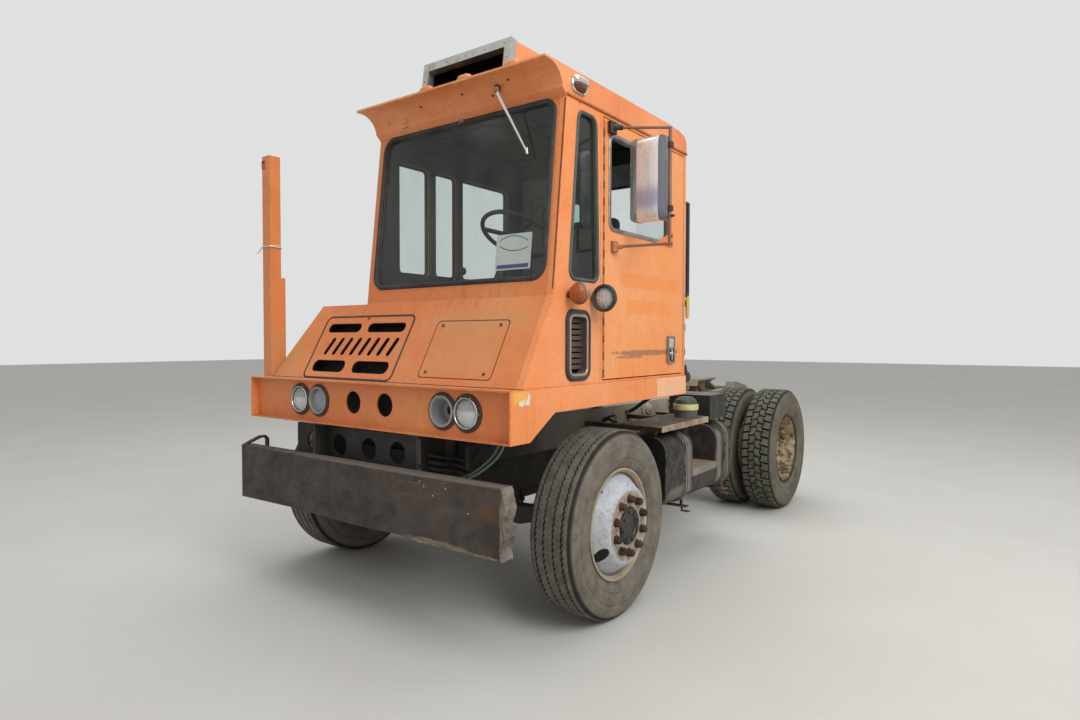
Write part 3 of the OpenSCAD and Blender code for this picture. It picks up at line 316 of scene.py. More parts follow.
def smooth_path(points: Points, count: int = 40) -> Array:
    """A smooth path through a few points: the cubic through each four neighbours (Catmull-Rom).

    Args:
        points: Points to pass (n x 3).
        count: Points in the result.
    Returns:
        The path (count x 3).
    """
    p = np.asarray(points, float)
    p = np.vstack([2 * p[0] - p[1], p, 2 * p[-1] - p[-2]])
    t = np.linspace(0, len(p) - 3 - 1e-9, count)
    i = t.astype(int)
    f = (t - i)[:, None]
    a, b, c, d = p[i], p[i + 1], p[i + 2], p[i + 3]
    return 0.5 * (2 * b + (c - a) * f + (2 * a - 5 * b + 4 * c - d) * f ** 2 + (3 * b - a - 3 * c + d) * f ** 3)


def revolved(profile: Points, plane: Plane, centre: Sequence[float] = (0, 0), steps: int = 32,
             wrap: bool = False) -> Surface:
    """A profile of (radius, out) turned round the plane's outward axis through a centre.

    The point is centre + radius (cos t across + sin t up) + out.

    Args:
        profile: Pairs (radius, out).
        plane: The plane whose outward direction is the axis.
        centre: Where the axis meets the plane.
        steps: Steps round the turn.
        wrap: Joins the profile's last point to its first.
    Returns:
        The surface.
    """
    profile = np.asarray(profile, float)
    angle = (np.arange(steps) * 2 * np.pi / steps)[:, None]
    flat = np.stack([centre[0] + profile[:, 0] * np.cos(angle), centre[1] + profile[:, 0] * np.sin(angle)], -1)
    out = np.broadcast_to(profile[:, 1], flat.shape[:2])
    return grid(plane.at(flat, out), wrap_u=True, wrap_v=wrap)


def ringed(profile: Points, plane: Plane, centres: Sequence[Sequence[float]], steps: int = 40) -> list[Surface]:
    """The same closed ring turned round each of several centres on a plane."""
    return [revolved(profile, plane, centre, steps, wrap=True) for centre in centres]


def plate(outline: Points, plane: Plane, low: float, high: float, chamfer: float = 1.0) -> Surface:
    """A flat plate with its outer edge broken: the outline drawn at three levels and capped.

    The top outline is moved inwards by the chamfer along each corner's own bisector.

    Args:
        outline: Points (n x 2), anticlockwise.
        plane: The plane it lies on.
        low: Level of its back.
        high: Level of its face.
        chamfer: Width of the broken edge.
    Returns:
        A closed surface.
    """
    p = np.asarray(outline, float)
    before, after = p - np.roll(p, 1, 0), np.roll(p, -1, 0) - p
    before /= np.linalg.norm(before, axis=1, keepdims=True)
    after /= np.linalg.norm(after, axis=1, keepdims=True)
    inward = np.stack([-(before + after)[:, 1], (before + after)[:, 0]], 1)
    inward /= np.linalg.norm(inward, axis=1, keepdims=True)
    levels = [plane.at(p, low), plane.at(p, high - chamfer), plane.at(p + inward * chamfer, high)]
    return grid(np.stack(levels), wrap_v=True, capped=True)


def block(low: Sequence[float], high: Sequence[float], chamfer: float = 2.0) -> Surface:
    """A box with its four long upright edges and its top edge broken.

    Args:
        low: Lowest corner.
        high: Highest corner.
        chamfer: Width of the broken edges.
    Returns:
        A closed surface.
    """
    x0, y0, z0 = low
    x1, y1, z1 = high
    plan = rounded_box(x0, y0, x1, y1, chamfer, 1)
    return plate(plan, lying(0), z0, z1, chamfer)


def closed_sheet(points: Array, thickness: Array) -> Surface:
    """A grid of points given a back at an even offset: front rows, then back rows in reverse, as one tube.

    Args:
        points: Array of nu x nv x 3.
        thickness: Offset from the front to the back.
    Returns:
        A closed surface.
    """
    loop = np.concatenate([points, points[:, ::-1] + thickness], 1)
    return grid(loop, wrap_v=True, capped=True)


def framed(outer: Points, inner: Points, plane: Plane, low: float, high: float) -> Surface:
    """A flat frame: the rings outer-low, outer-high, inner-high, inner-low, each joined to the next.

    Args:
        outer: Outer outline (n x 2).
        inner: Inner outline with as many points.
        plane: The plane it lies on.
        low: Level of its back.
        high: Level of its face.
    Returns:
        A closed ring.
    """
    levels = [plane.at(outer, low), plane.at(outer, high), plane.at(inner, high), plane.at(inner, low)]
    return grid(np.stack(levels), wrap_u=True, wrap_v=True)


def domed(outline: Points, plane: Plane, centre: Sequence[float],
          levels: Sequence[tuple[float, float]]) -> Surface:
    """An outline drawn in at each level: point = centre + share (outline - centre), at that level's height.

    Args:
        outline: Outline (n x 2).
        plane: The plane it stands on.
        centre: The point that it is drawn in to.
        levels: Pairs (share, out), from the foot upwards.
    Returns:
        A closed surface.
    """
    middle = np.asarray(centre, float)
    rows = [plane.at(middle + share * (np.asarray(outline, float) - middle), out) for share, out in levels]
    return grid(np.stack(rows), wrap_v=True, capped=True)


def rod(a: Sequence[float], b: Sequence[float], radius: float, sides: int = 12) -> Surface:
    """A straight round bar between two points."""
    a, b = np.asarray(a, float), np.asarray(b, float)
    along = b - a
    out = (0.0, 0.0, 1.0) if abs(along[2]) < 0.9 * np.linalg.norm(along) else (0.0, 1.0, 0.0)
    return swept(np.linspace(a, b, 2), circle(radius, sides), out)


def heads(plane: Plane, places: Points, radius: float = 9.0, height: float = 6.0, sides: int = 6,
          out: float = 0.0) -> Surface:
    """Bolt heads or rivets on a plane: one small turned head, copied to every place.

    Args:
        plane: The plane they stand on.
        places: Pairs (u, v).
        radius: Radius of a head.
        height: Height of a head.
        sides: Six for a hexagon head, more for a rivet.
        out: Level of the plate they stand on.
    Returns:
        All the heads in one surface.
    """
    if sides == 6:
        profile = [[0, -1], [radius * 1.25, -1], [radius * 1.25, 1.5], [radius, 1.5], [radius, height - 1],
                   [radius * 0.85, height], [0, height]]
    else:
        profile = [[0, -1], [radius, -1], [radius, height * 0.25], [radius * 0.8, height * 0.7],
                   [radius * 0.45, height * 0.95], [0, height]]
    one = revolved(profile, plane, (0, 0), sides)
    base = plane.at(places, out) - np.asarray(plane.origin)
    return one.copied(base)


def piece(name: str, slot: str, finish: "Finish", parts: Sequence[Surface], body: str = "chassis",
          replaces: Sequence[str] = (), sharp: float = 38.0) -> bpy.types.Object:
    """Puts surfaces into one mesh object, dresses it and lets it ride on a body.

    Doubled points are merged, so seams and poles close, and the faces are turned outwards.

    Args:
        name: Name of the piece.
        slot: The record's material slot; not used.
        finish: Its finish.
        parts: Surfaces in millimetres.
        body: The body it rides on.
        replaces: Nodes that it stands for.
        sharp: Angle in degrees past which an edge stays sharp.
    Returns:
        The object.
    """
    whole = joined(parts)
    mesh = bpy.data.meshes.new(name)
    faces = whole.quads.tolist() + whole.caps
    mesh.from_pydata(placed(whole.points).tolist(), [], faces)
    loose = bmesh.new()
    loose.from_mesh(mesh)
    bmesh.ops.remove_doubles(loose, verts=loose.verts, dist=2e-6)
    bmesh.ops.dissolve_degenerate(loose, edges=loose.edges, dist=1e-6)
    bmesh.ops.recalc_face_normals(loose, faces=loose.faces)
    loose.to_mesh(mesh)
    loose.free()
    mesh.polygons.foreach_set("use_smooth", np.ones(len(mesh.polygons), bool))
    mesh.set_sharp_from_angle(angle=math.radians(sharp))
    mesh.materials.append(finish.material())
    obj = bpy.data.objects.new(name, mesh)
    bpy.context.scene.collection.objects.link(obj)
    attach(obj, body)
    if replaces:
        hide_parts(*replaces)
    log.info("%s: %d points, %d faces, on %s", name, len(mesh.vertices), len(mesh.polygons), body)
    return obj


# Finishes -----------------------------------------------------------------------------------------


def add_node(tree: Any, kind: str, inputs: dict[str | int, Any] | None = None, **settings: Any) -> Any:
    """Puts one node into a tree, sets it up and links it.

    Args:
        tree: The node tree.
        kind: The node's kind, as Blender calls it after the word Shader.
        inputs: A socket to link, a value or a colour code for each input, by its name or number.
        settings: The node's other settings.
    Returns:
        The node.
    """
    node = tree.nodes.new(f"ShaderNode{kind}")
    for name, value in settings.items():
        setattr(node, name, value)
    for name, value in (inputs or {}).items():
        if isinstance(value, bpy.types.NodeSocket):
            tree.links.new(value, node.inputs[name])
        elif value is not None:
            node.inputs[name].default_value = (*tint(value), 1.0) if isinstance(value, str) else value
    return node


class Graph:
    """The nodes of one material, with a short call for each kind."""

    def __init__(self, name: str) -> None:
        """Starts an empty material with its object coordinates and normals at hand."""
        self.material = bpy.data.materials.new(name)
        self.material.use_nodes = True
        self.tree = self.material.node_tree
        self.tree.nodes.clear()
        coords = add_node(self.tree, "TexCoord")
        self.place = coords.outputs["Object"]
        self.facing = coords.outputs["Normal"]

    def node(self, kind: str, inputs: dict[str | int, Any] | None = None, **settings: Any) -> Any:
        """A node of this material, as add_node makes it."""
        return add_node(self.tree, kind, inputs, **settings)

    def mapped(self, scale: Sequence[float] = (1, 1, 1), move: Sequence[float] = (0, 0, 0),
               turn: Sequence[float] = (0, 0, 0)) -> Any:
        """Object coordinates moved, turned and scaled: scale * R * p + move."""
        inputs = {"Vector": self.place, "Scale": scale, "Location": move, "Rotation": turn}
        return self.node("Mapping", inputs).outputs["Vector"]

    def noise(self, scale: float, detail: float = 4.0, rough: float = 0.55, bend: float = 0.0,
              vector: Any = None) -> Any:
        """Fractal noise from 0 to 1."""
        inputs = {"Vector": self.place if vector is None else vector, "Scale": scale, "Detail": detail,
                  "Roughness": rough, "Distortion": bend}
        return self.node("TexNoise", inputs).outputs["Fac"]

    def between(self, value: Any, low: float, high: float, to: Sequence[float] = (0.0, 1.0)) -> Any:
        """A smooth step of a value from low to high, given as to[0] to to[1]."""
        inputs = {"Value": value, "From Min": low, "From Max": high, "To Min": to[0], "To Max": to[1]}
        return self.node("MapRange", inputs, interpolation_type="SMOOTHSTEP").outputs["Result"]

    def calc(self, kind: str, a: Any, b: Any = 0.0, clamp: bool = False) -> Any:
        """One step of arithmetic on two values."""
        return self.node("Math", {0: a, 1: b}, operation=kind, use_clamp=clamp).outputs[0]

    def times(self, a: Any, b: Any, clamp: bool = False) -> Any:
        """a times b."""
        return self.calc("MULTIPLY", a, b, clamp)

    def plus(self, a: Any, b: Any, clamp: bool = False) -> Any:
        """a plus b."""
        return self.calc("ADD", a, b, clamp)

    def mix(self, share: Any, a: Any, b: Any) -> Any:
        """A colour between two others."""
        return self.node("Mix", {"Factor": share, 6: a, 7: b}, data_type="RGBA").outputs[2]

    def patches(self, low: float, high: float, *noise: float, to: Sequence[float] = (0.0, 1.0)) -> Any:
        """Patches with soft borders: a smooth step of noise, given by what noise() takes, from low to high."""
        return self.between(self.noise(*noise), low, high, to)

    def laid(self, colour: Any, other: Any, share: Any, strength: float) -> Any:
        """Another colour laid over one by a share times a strength."""
        return self.mix(self.times(share, strength), colour, other)

    def marked(self, colour: Any, marks: Sequence["Mark"]) -> Any:
        """A colour with each mark's own colour laid over it in turn."""
        for mark in marks:
            colour = self.mix(self.patch(mark), colour, mark.colour)
        return colour

    def parts(self, vector: Any = None) -> tuple[Any, Any, Any]:
        """The three parts of a vector."""
        return tuple(self.node("SeparateXYZ", {0: self.place if vector is None else vector}).outputs)

    def length(self, a: Any, b: Any) -> Any:
        """Root of a squared plus b squared."""
        squares = self.plus(self.times(a, a), self.times(b, b))
        return self.calc("SQRT", squares)

    def patch(self, mark: "Mark") -> Any:
        """Share of a mark here: full while the size of (place - middle) / half, plus noise, is under 1."""
        half = np.array(mark.half) / 1000
        shift = -placed(np.array(mark.middle)) / half
        x, y, z = self.parts(self.mapped(tuple(1 / half), tuple(shift)))
        if mark.square:
            x, y, z = (self.calc("ABSOLUTE", v) for v in (x, y, z))
            size = self.calc("MAXIMUM", self.calc("MAXIMUM", x, y), z)
        else:
            size = self.length(self.length(x, y), z)
        sway = self.times(self.calc("SUBTRACT", self.noise(mark.grain, 4, 0.65), 0.5), 2 * mark.ragged)
        return self.times(self.between(self.plus(size, sway), 1.0 + mark.soft, 1.0 - mark.soft), mark.share)

    def inside(self, room: "Room") -> Any:
        """1 inside a room and 0 outside it: the product of one comparison for each of its sides."""
        low, high = placed(np.array(room.low)), placed(np.array(room.high))
        x, y, z = self.parts()
        rise = self.times(self.calc("SUBTRACT", z, room.foot[1] / 1000), room.slope)
        front = self.plus(rise, (room.foot[0] - MIDDLE_MM[1]) / 1000)
        share = self.calc("GREATER_THAN", y, front)
        for kind, value, limit in (("GREATER_THAN", x, low[0]), ("LESS_THAN", x, high[0]), ("LESS_THAN", y, high[1]),
                                   ("GREATER_THAN", z, low[2]), ("LESS_THAN", z, high[2])):
            share = self.times(share, self.calc(kind, value, float(limit)))
        return share

    def edge(self, radius: float) -> tuple[Any, Any]:
        """A rounded normal near edges, and how far it differs from the flat one there (0 to 1)."""
        normal = self.node("Bevel", {"Radius": radius}, samples=4).outputs[0]
        flat = self.node("NewGeometry").outputs["Normal"]
        dot = self.node("VectorMath", {0: normal, 1: flat}, operation="DOT_PRODUCT").outputs["Value"]
        away = self.calc("SUBTRACT", 1.0, dot, clamp=True)
        return normal, self.between(away, 0.01, 0.16)

    def bump(self, height: Any, depth: float, strength: float = 1.0, normal: Any = None) -> Any:
        """A normal tilted by the slope of a height; depth is the height's scale in metres."""
        inputs = {"Strength": strength, "Distance": depth, "Height": height, "Normal": normal}
        return self.node("Bump", inputs).outputs["Normal"]

    def shade(self, colour: Any, rough: Any, metal: Any = 0.0, normal: Any = None,
              **more: Any) -> bpy.types.Material:
        """Ends the tree in one principled shader.

        Args:
            colour: Base colour, a socket or a value.
            rough: Roughness.
            metal: Metallic.
            normal: Normal, if it isn't the mesh's own.
            more: Other inputs by name, with underscores for spaces.
        Returns:
            The material.
        """
        inputs = {"Base Color": colour, "Roughness": rough, "Metallic": metal, "Normal": normal}
        inputs.update({name.replace("_", " "): value for name, value in more.items()})
        return self.ended(self.node("BsdfPrincipled", inputs))

    def ended(self, shader: Any) -> bpy.types.Material:
        """The material, with a shader as its surface."""
        self.node("OutputMaterial", {"Surface": shader.outputs[0]})
        return self.material


MADE: dict[str, bpy.types.Material] = {}


@dataclass(frozen=True)
class Finish:
    """A surface finish; its material is made once and then shared."""

    name: str

    def material(self) -> bpy.types.Material:
        """The shared material of this finish, made at its first use."""
        if self.name not in MADE:
            MADE[self.name] = self.build(Graph(f"{self.name}_finish"))
        return MADE[self.name]

    def build(self, g: Graph) -> bpy.types.Material:
        """Makes the material's nodes."""
        raise NotImplementedError


@dataclass(frozen=True)
class Mark:
    """One uneven patch of another colour; its middle and half sizes are in the vehicle's millimetres."""

    middle: tuple[float, float, float]
    half: tuple[float, float, float]
    colour: Colour
    share: float = 0.8
    ragged: float = 0.3
    grain: float = 20.0
    square: bool = False
    soft: float = 0.06


@dataclass(frozen=True)
class Room:
    """The space inside a shell, whose walls are lined: its front is y = foot_y + slope (z - foot_z)."""

    low: tuple[float, float, float]
    high: tuple[float, float, float]
    foot: tuple[float, float]
    slope: float


@dataclass(frozen=True)
class WornPaint(Finish):
    """Chalky machine paint: faded patches, grime that runs down, chips on edges and splash below."""

    colour: Colour
    faded: Colour
    deep: Colour
    grime: Colour = "4a3a2c"
    rust: Colour = "4b2a1a"
    grime_share: float = 0.45
    chips: float = 1.0
    rough: float = 0.42
    splash_top: float = 1.32
    splash_share: float = 0.4
    dust: float = 0.35
    edge_mm: float = 5.0
    marks: tuple[Mark, ...] = ()
    room: Room | None = None
    lining: Colour = "3b3d3e"
    # A room whose surfaces are painted near black as shade.
    shaft: Room | None = None

    def build(self, g: Graph) -> bpy.types.Material:
        """Layers from the paint outwards: fading, grime runs, dust on top faces, splash, chips."""
        patches = g.patches(0.35, 0.68, 1.3, 4, 0.6)
        colour = g.mix(patches, self.colour, self.faded)
        blotch = g.patches(0.56, 0.74, 5.0, 5, 0.65, 0.4)
        colour = g.laid(colour, self.deep, blotch, 0.35)
        fine = g.patches(0.42, 0.75, 60.0, 4, 0.7)
        colour = g.laid(colour, self.grime, fine, 0.16)
        runs = g.noise(1.0, 5, 0.62, vector=g.mapped((26, 26, 1.6)))
        broad = g.noise(1.7, 3, 0.5)
        wet = g.times(g.between(runs, 0.5, 0.78), g.between(broad, 0.38, 0.72))
        colour = g.laid(colour, self.grime, wet, self.grime_share)
        scratch = g.between(g.noise(1.0, 2, 0.5, vector=g.mapped((7, 7, 260), turn=(0.35, 0.2, 0))), 0.69, 0.74)
        scratch = g.times(scratch, g.patches(0.52, 0.66, 3.2, 2))
        colour = g.laid(colour, self.faded, scratch, 0.4)
        _, _, facing_up = g.parts(g.facing)
        _, _, height = g.parts()
        top = g.times(g.between(facing_up, 0.35, 0.95), g.patches(0.3, 0.7, 7, 5, 0.7))
        colour = g.laid(colour, "8d7b66", top, self.dust)
        low = g.between(height, self.splash_top, self.splash_top - 0.55)
        low = g.times(low, g.patches(0.32, 0.72, 11, 6, 0.72, 0.6))
        colour = g.laid(colour, self.grime, low, self.splash_share)
        colour = g.marked(colour, self.marks)
        rounded_normal, edge = g.edge(self.edge_mm / 1000)
        broken = g.patches(0.52, 0.6, 38, 5, 0.75)
        worn = g.times(g.times(edge, broken), self.chips)
        specks = g.patches(0.725, 0.755, 95, 3, 0.6)
        specks = g.times(specks, g.patches(0.5, 0.62, 2.4, 3))
        worn = g.calc("MAXIMUM", worn, g.times(specks, self.chips), clamp=True)
        rust = g.mix(g.patches(0.4, 0.65, 70, 3), self.rust, "7b4526")
        colour = g.mix(worn, colour, rust)
        if self.room is not None:
            lined = g.mix(g.patches(0.35, 0.75, 9, 5, 0.65, to=(0.0, 0.35)), self.lining, "1d1d1d")
            colour = g.mix(g.inside(self.room), colour, lined)
        # Near black inside the shaft room, the grille slots' walls behind the face: painted shade.
        if self.shaft is not None:
            colour = g.mix(g.inside(self.shaft), colour, "0b0a09")
        rough = g.plus(g.patches(0.3, 0.75, 9, 4, 0.6, to=(self.rough - 0.08, self.rough + 0.14)),
                       g.times(worn, 0.3), clamp=True)
        dents = g.times(g.noise(3.1, 2, 0.4), 1.0)
        normal = g.bump(dents, 0.012, 0.25, rounded_normal)
        relief = g.calc("SUBTRACT", g.times(g.noise(210, 3, 0.6), 0.35), worn)
        normal = g.bump(relief, 0.0006, 0.5, normal)
        return g.shade(colour, rough, normal=normal, Specular_IOR_Level=0.45)


@dataclass(frozen=True)
class RustedSteel(Finish):
    """Bare steel gone brown: mottled dark and light rust, worn paler along the edges."""

    dark: Colour = "2c2420"
    brown: Colour = "4d3a2f"
    bright: Colour = "7d4e31"
    pale: Colour = "8c7a68"
    edge_mm: float = 12.0
    pale_share: float = 0.8
    marks: tuple[Mark, ...] = ()

    def build(self, g: Graph) -> bpy.types.Material:
        """Three rust colours by noise, a pale worn edge, and a pitted bump."""
        colour = g.mix(g.patches(0.36, 0.64, 6, 6, 0.7, 0.5), self.dark, self.brown)
        colour = g.laid(colour, self.bright, g.patches(0.52, 0.72, 2.3, 5, 0.6), 0.75)
        colour = g.laid(colour, self.dark, g.patches(0.5, 0.72, 42, 5, 0.75), 0.5)
        scrape = g.noise(1.0, 4, 0.65, vector=g.mapped((4, 20, 55), turn=(0, 0.06, 0)))
        colour = g.laid(colour, self.pale, g.between(scrape, 0.62, 0.74), 0.45)
        colour = g.marked(colour, self.marks)
        rounded_normal, edge = g.edge(self.edge_mm / 1000)
        worn = g.times(edge, g.patches(0.4, 0.6, 16, 5, 0.7))
        colour = g.laid(colour, self.pale, worn, self.pale_share)
        rough = g.patches(0.3, 0.75, 20, 4, 0.6, to=(0.55, 0.85))
        pits = g.plus(g.times(g.noise(30, 6, 0.7), 1.0), g.times(g.noise(160, 3), 0.25))
        normal = g.bump(pits, 0.004, 0.55, rounded_normal)
        return g.shade(colour, rough, normal=normal, Specular_IOR_Level=0.3)


@dataclass(frozen=True)
class Rubber(Finish):
    """Dusty black rubber: brown dust in patches, more where the noise is high, hardly any shine."""

    base: Colour = "26241f"
    dusty: Colour = "5b5348"
    dust_share: float = 0.7
    rough: float = 0.78

    def build(self, g: Graph) -> bpy.types.Material:
        """Rubber under a film of dust, with a fine grain."""
        film = g.patches(0.28, 0.74, 7, 6, 0.68, 0.3)
        grain = g.patches(0.35, 0.7, 120, 4, 0.7)
        share = g.times(g.plus(g.times(film, 0.75), g.times(grain, 0.25)), self.dust_share, clamp=True)
        colour = g.mix(share, self.base, self.dusty)
        normal = g.bump(g.noise(260, 3, 0.6), 0.0006, 0.5)
        return g.shade(colour, self.rough, normal=normal, Specular_IOR_Level=0.3)


@dataclass(frozen=True)
class TyreRubber(Finish):
    """Tyre rubber: a dusty tread, darker grooves and rings of brown on the sidewall."""

    centre: tuple[float, float] = (-1.512, 0.506)
    crown: float = 0.506
    groove: float = 0.494
    base: Colour = "2d2a26"
    sidewall: Colour = "5d554b"
    tread: Colour = "54504a"

    def build(self, g: Graph) -> bpy.types.Material:
        """Colour by the distance from the hub: wall rings inside, tread outside, dark grooves between."""
        _, y, z = g.parts(g.mapped(move=(0, -self.centre[0], -self.centre[1])))
        radius = g.length(y, z)
        film = g.patches(0.25, 0.75, 8, 6, 0.7, 0.4)
        wall = g.mix(g.plus(g.times(film, 0.6), 0.15), self.base, self.sidewall)
        rings = g.noise(1.0, 3, 0.6, vector=self.ring_vector(g, radius))
        wall = g.mix(g.times(g.between(rings, 0.5, 0.66), 0.45), wall, "786e60")
        wall = g.mix(g.times(g.between(rings, 0.46, 0.36), 0.5), wall, "2b2824")
        patch = g.patches(0.3, 0.72, 15, 5, 0.7)
        top = g.mix(g.plus(g.times(patch, 0.65), 0.2), self.base, self.tread)
        outer = g.between(radius, self.crown - 0.034, self.crown - 0.016)
        colour = g.mix(outer, wall, top)
        shade = g.between(radius, self.crown - 0.0035, self.groove)
        colour = g.laid(colour, "141210", g.times(shade, outer), 0.9)
        grain = g.noise(190, 4, 0.65)
        normal = g.bump(grain, 0.0012, 0.5)
        return g.shade(colour, 0.82, normal=normal, Specular_IOR_Level=0.25)

    def ring_vector(self, g: Graph, radius: Any) -> Any:
        """A vector that changes only with the radius, so that noise on it draws rings."""
        return g.node("CombineXYZ", {0: g.times(radius, 95.0), 1: g.times(g.parts()[0], 2.0)}).outputs[0]


@dataclass(frozen=True)
class WheelPaint(Finish):
    """Disc wheel paint by distance from the hub: oily hub, cream face, grey dish, dull flange."""

    centre: tuple[float, float] = (-1.512, 0.506)
    disc: Colour = "a19c92"
    dull: Colour = "86817a"
    flange: Colour = "a9987c"
    hub: Colour = "1d1a18"
    face: Colour = "b3a78f"
    rust: Colour = "74492c"
    rust_share: float = 0.35
    hub_radius: float = 0.098
    marks: tuple[Mark, ...] = ()

    def build(self, g: Graph) -> bpy.types.Material:
        """Bands by radius with ragged borders, streaks of rust and a film of dirt."""
        _, y, z = g.parts(g.mapped(move=(0, -self.centre[0], -self.centre[1])))
        ragged = g.times(g.calc("SUBTRACT", g.noise(22, 4, 0.65), 0.5), 0.022)
        radius = g.plus(g.length(y, z), ragged)
        disc = g.mix(g.patches(0.35, 0.7, 4, 5, 0.6), self.disc, self.dull)
        colour = g.mix(g.between(radius, 0.272, 0.279), disc, self.flange)
        stain = g.patches(0.5, 0.72, 13, 6, 0.72, 0.5)
        colour = g.laid(colour, self.rust, stain, self.rust_share)
        mottled = g.mix(g.patches(0.42, 0.7, 34, 5, 0.7), self.face, "7d6a50")
        colour = g.mix(g.between(radius, 0.19, 0.178), colour, mottled)
        oil = g.between(radius, self.hub_radius + 0.012, self.hub_radius)
        colour = g.laid(colour, self.hub, oil, 0.93)
        grime = g.times(g.patches(0.42, 0.75, 48, 5, 0.7), 0.4)
        colour = g.mix(grime, colour, "4b4136")
        colour = g.marked(colour, self.marks)
        rough = g.calc("SUBTRACT", g.patches(0.3, 0.7, 18, 4, to=(0.5, 0.78)), g.times(oil, 0.2))
        normal, _ = g.edge(0.003)
        normal = g.bump(g.noise(120, 4, 0.6), 0.0012, 0.4, normal)
        return g.shade(colour, rough, normal=normal, Specular_IOR_Level=0.4)


@dataclass(frozen=True)
class Metal(Finish):
    """Bare bright metal: fine scratches along one way, with dull and stained patches."""

    base: Colour = "c9c9c6"
    stain: Colour = "7d766c"
    rough: float = 0.28
    stain_share: float = 0.35
    metal: float = 1.0

    def build(self, g: Graph) -> bpy.types.Material:
        """Metal with stretched scratches in its roughness and patches of dull film."""
        dull = g.patches(0.42, 0.72, 10, 5, 0.65)
        colour = g.mix(g.times(dull, self.stain_share), self.base, self.stain)
        lines = g.noise(1.0, 3, 0.6, vector=g.mapped((30, 30, 400)))
        rough = g.plus(g.between(lines, 0.3, 0.7, (self.rough - 0.06, self.rough + 0.1)),
                       g.times(dull, 0.2), clamp=True)
        normal = g.bump(g.noise(90, 3), 0.0004, 0.3)
        return g.shade(colour, rough, metal=self.metal, normal=normal)


@dataclass(frozen=True)
class PaintedReflectionChrome(Finish):
    """Bright sheet folded in three, its bands painted reflections: a grey left side, a bright middle, a dark right
    side, scratched.
    """

    left: Colour = "a9a9aa"
    middle: Colour = "f4f4f3"
    right: Colour = "7b7e86"
    low_reflection_tint: Colour = "a9a9cc"
    folds: tuple[float, float] = (1.069, 1.199)

    def build(self, g: Graph) -> bpy.types.Material:
        """Three painted reflection colours by the place across, a painted bluish reflection low in the middle, and
        scratches.
        """
        x, _, z = g.parts()
        # The bands across and the bluish cast low in the middle are painted reflections.
        cast = g.times(g.between(z, 2.36, 2.27), g.between(z, 2.17, 2.24))
        middle = g.mix(g.times(cast, 0.8), self.middle, self.low_reflection_tint)
        middle = g.mix(g.patches(0.5, 0.75, 16, 5, 0.7, to=(0.0, 0.25)), middle, "b5b4b6")
        colour = g.mix(g.calc("GREATER_THAN", x, self.folds[0]), self.left, middle)
        colour = g.mix(g.calc("GREATER_THAN", x, self.folds[1]), colour, self.right)
        dull = g.patches(0.45, 0.75, 26, 5, 0.65)
        colour = g.laid(colour, "7f786e", dull, 0.1)
        rough = g.between(g.noise(1.0, 4, 0.6, vector=g.mapped((60, 60, 6))), 0.3, 0.7, (0.2, 0.42))
        return g.shade(colour, rough, metal=0.5, normal=g.bump(g.noise(60, 4), 0.0008, 0.3))


@dataclass(frozen=True)
class Glass(Finish):
    """Dusty glass: clear with a tint, a mirror image by its Fresnel share, and a film of dust."""

    through: Colour = "c9d6d2"
    film: Colour = "b3b0a4"
    film_share: float = 0.1
    ior: float = 1.52
    marks: tuple[Mark, ...] = ()

    def build(self, g: Graph) -> bpy.types.Material:
        """Clear glass mixed with dust by noise; its faces towards the eye mirror by the Fresnel share."""
        clear = g.node("BsdfTransparent", {"Color": g.marked(self.through, self.marks)})
        dust = g.node("BsdfDiffuse", {"Color": self.film})
        streaks = g.noise(1.0, 5, 0.65, vector=g.mapped((6, 6, 2.2)))
        dirt = g.between(streaks, 0.3, 0.8, (self.film_share * 0.4, self.film_share * 1.8))
        dirty = g.node("MixShader", {0: dirt, 1: clear.outputs[0], 2: dust.outputs[0]})
        shine = g.node("BsdfGlossy", {"Roughness": 0.04})
        fresnel = g.node("Fresnel", {"IOR": self.ior}).outputs[0]
        front = g.calc("SUBTRACT", 1.0, g.node("NewGeometry").outputs["Backfacing"])
        return g.ended(g.node("MixShader", {0: g.times(fresnel, front), 1: dirty.outputs[0], 2: shine.outputs[0]}))


@dataclass(frozen=True)
class Lens(Finish):
    """Moulded lamp lens: tinted, half clear, with fine ribs across it."""

    colour: Colour = "e8ecec"
    clear: float = 0.75
    ribs: float = 420.0
    rib_depth: float = 0.0012
    grime: float = 0.25
    marks: tuple[Mark, ...] = ()

    def build(self, g: Graph) -> bpy.types.Material:
        """Tinted plastic or glass whose ribs are a wave across the piece, under a little dirt."""
        wave = g.calc("SINE", g.times(g.parts()[0], self.ribs))
        dirt = g.times(g.patches(0.42, 0.75, 30, 5, 0.7), self.grime)
        colour = g.mix(dirt, self.colour, "4a3b2c")
        colour = g.marked(colour, self.marks)
        rough = g.patches(0.3, 0.75, 40, 4, to=(0.08, 0.28))
        normal = g.bump(wave, self.rib_depth, 0.5)
        return g.shade(colour, rough, normal=normal, Transmission_Weight=self.clear, IOR=1.45)


@dataclass(frozen=True)
class Plastic(Finish):
    """Moulded plastic or plain panel: fine grain, dust on top faces, a little shine."""

    colour: Colour = "1c1c1c"
    dust: Colour = "6d665a"
    dust_share: float = 0.35
    rough: float = 0.55
    grain: float = 320.0

    def build(self, g: Graph) -> bpy.types.Material:
        """Grained plastic with dust where it faces up."""
        _, _, up = g.parts(g.facing)
        film = g.times(g.between(up, 0.1, 0.9), g.patches(0.3, 0.7, 14, 5, 0.7))
        spread = g.times(g.patches(0.4, 0.75, 6, 5, 0.6), 0.3)
        share = g.times(g.plus(film, spread, clamp=True), self.dust_share)
        colour = g.mix(share, self.colour, self.dust)
        rough = g.patches(0.3, 0.7, 25, 3, to=(self.rough - 0.06, self.rough + 0.14))
        normal = g.bump(g.noise(self.grain, 2, 0.5), 0.0005, 0.4)
        return g.shade(colour, rough, normal=normal)


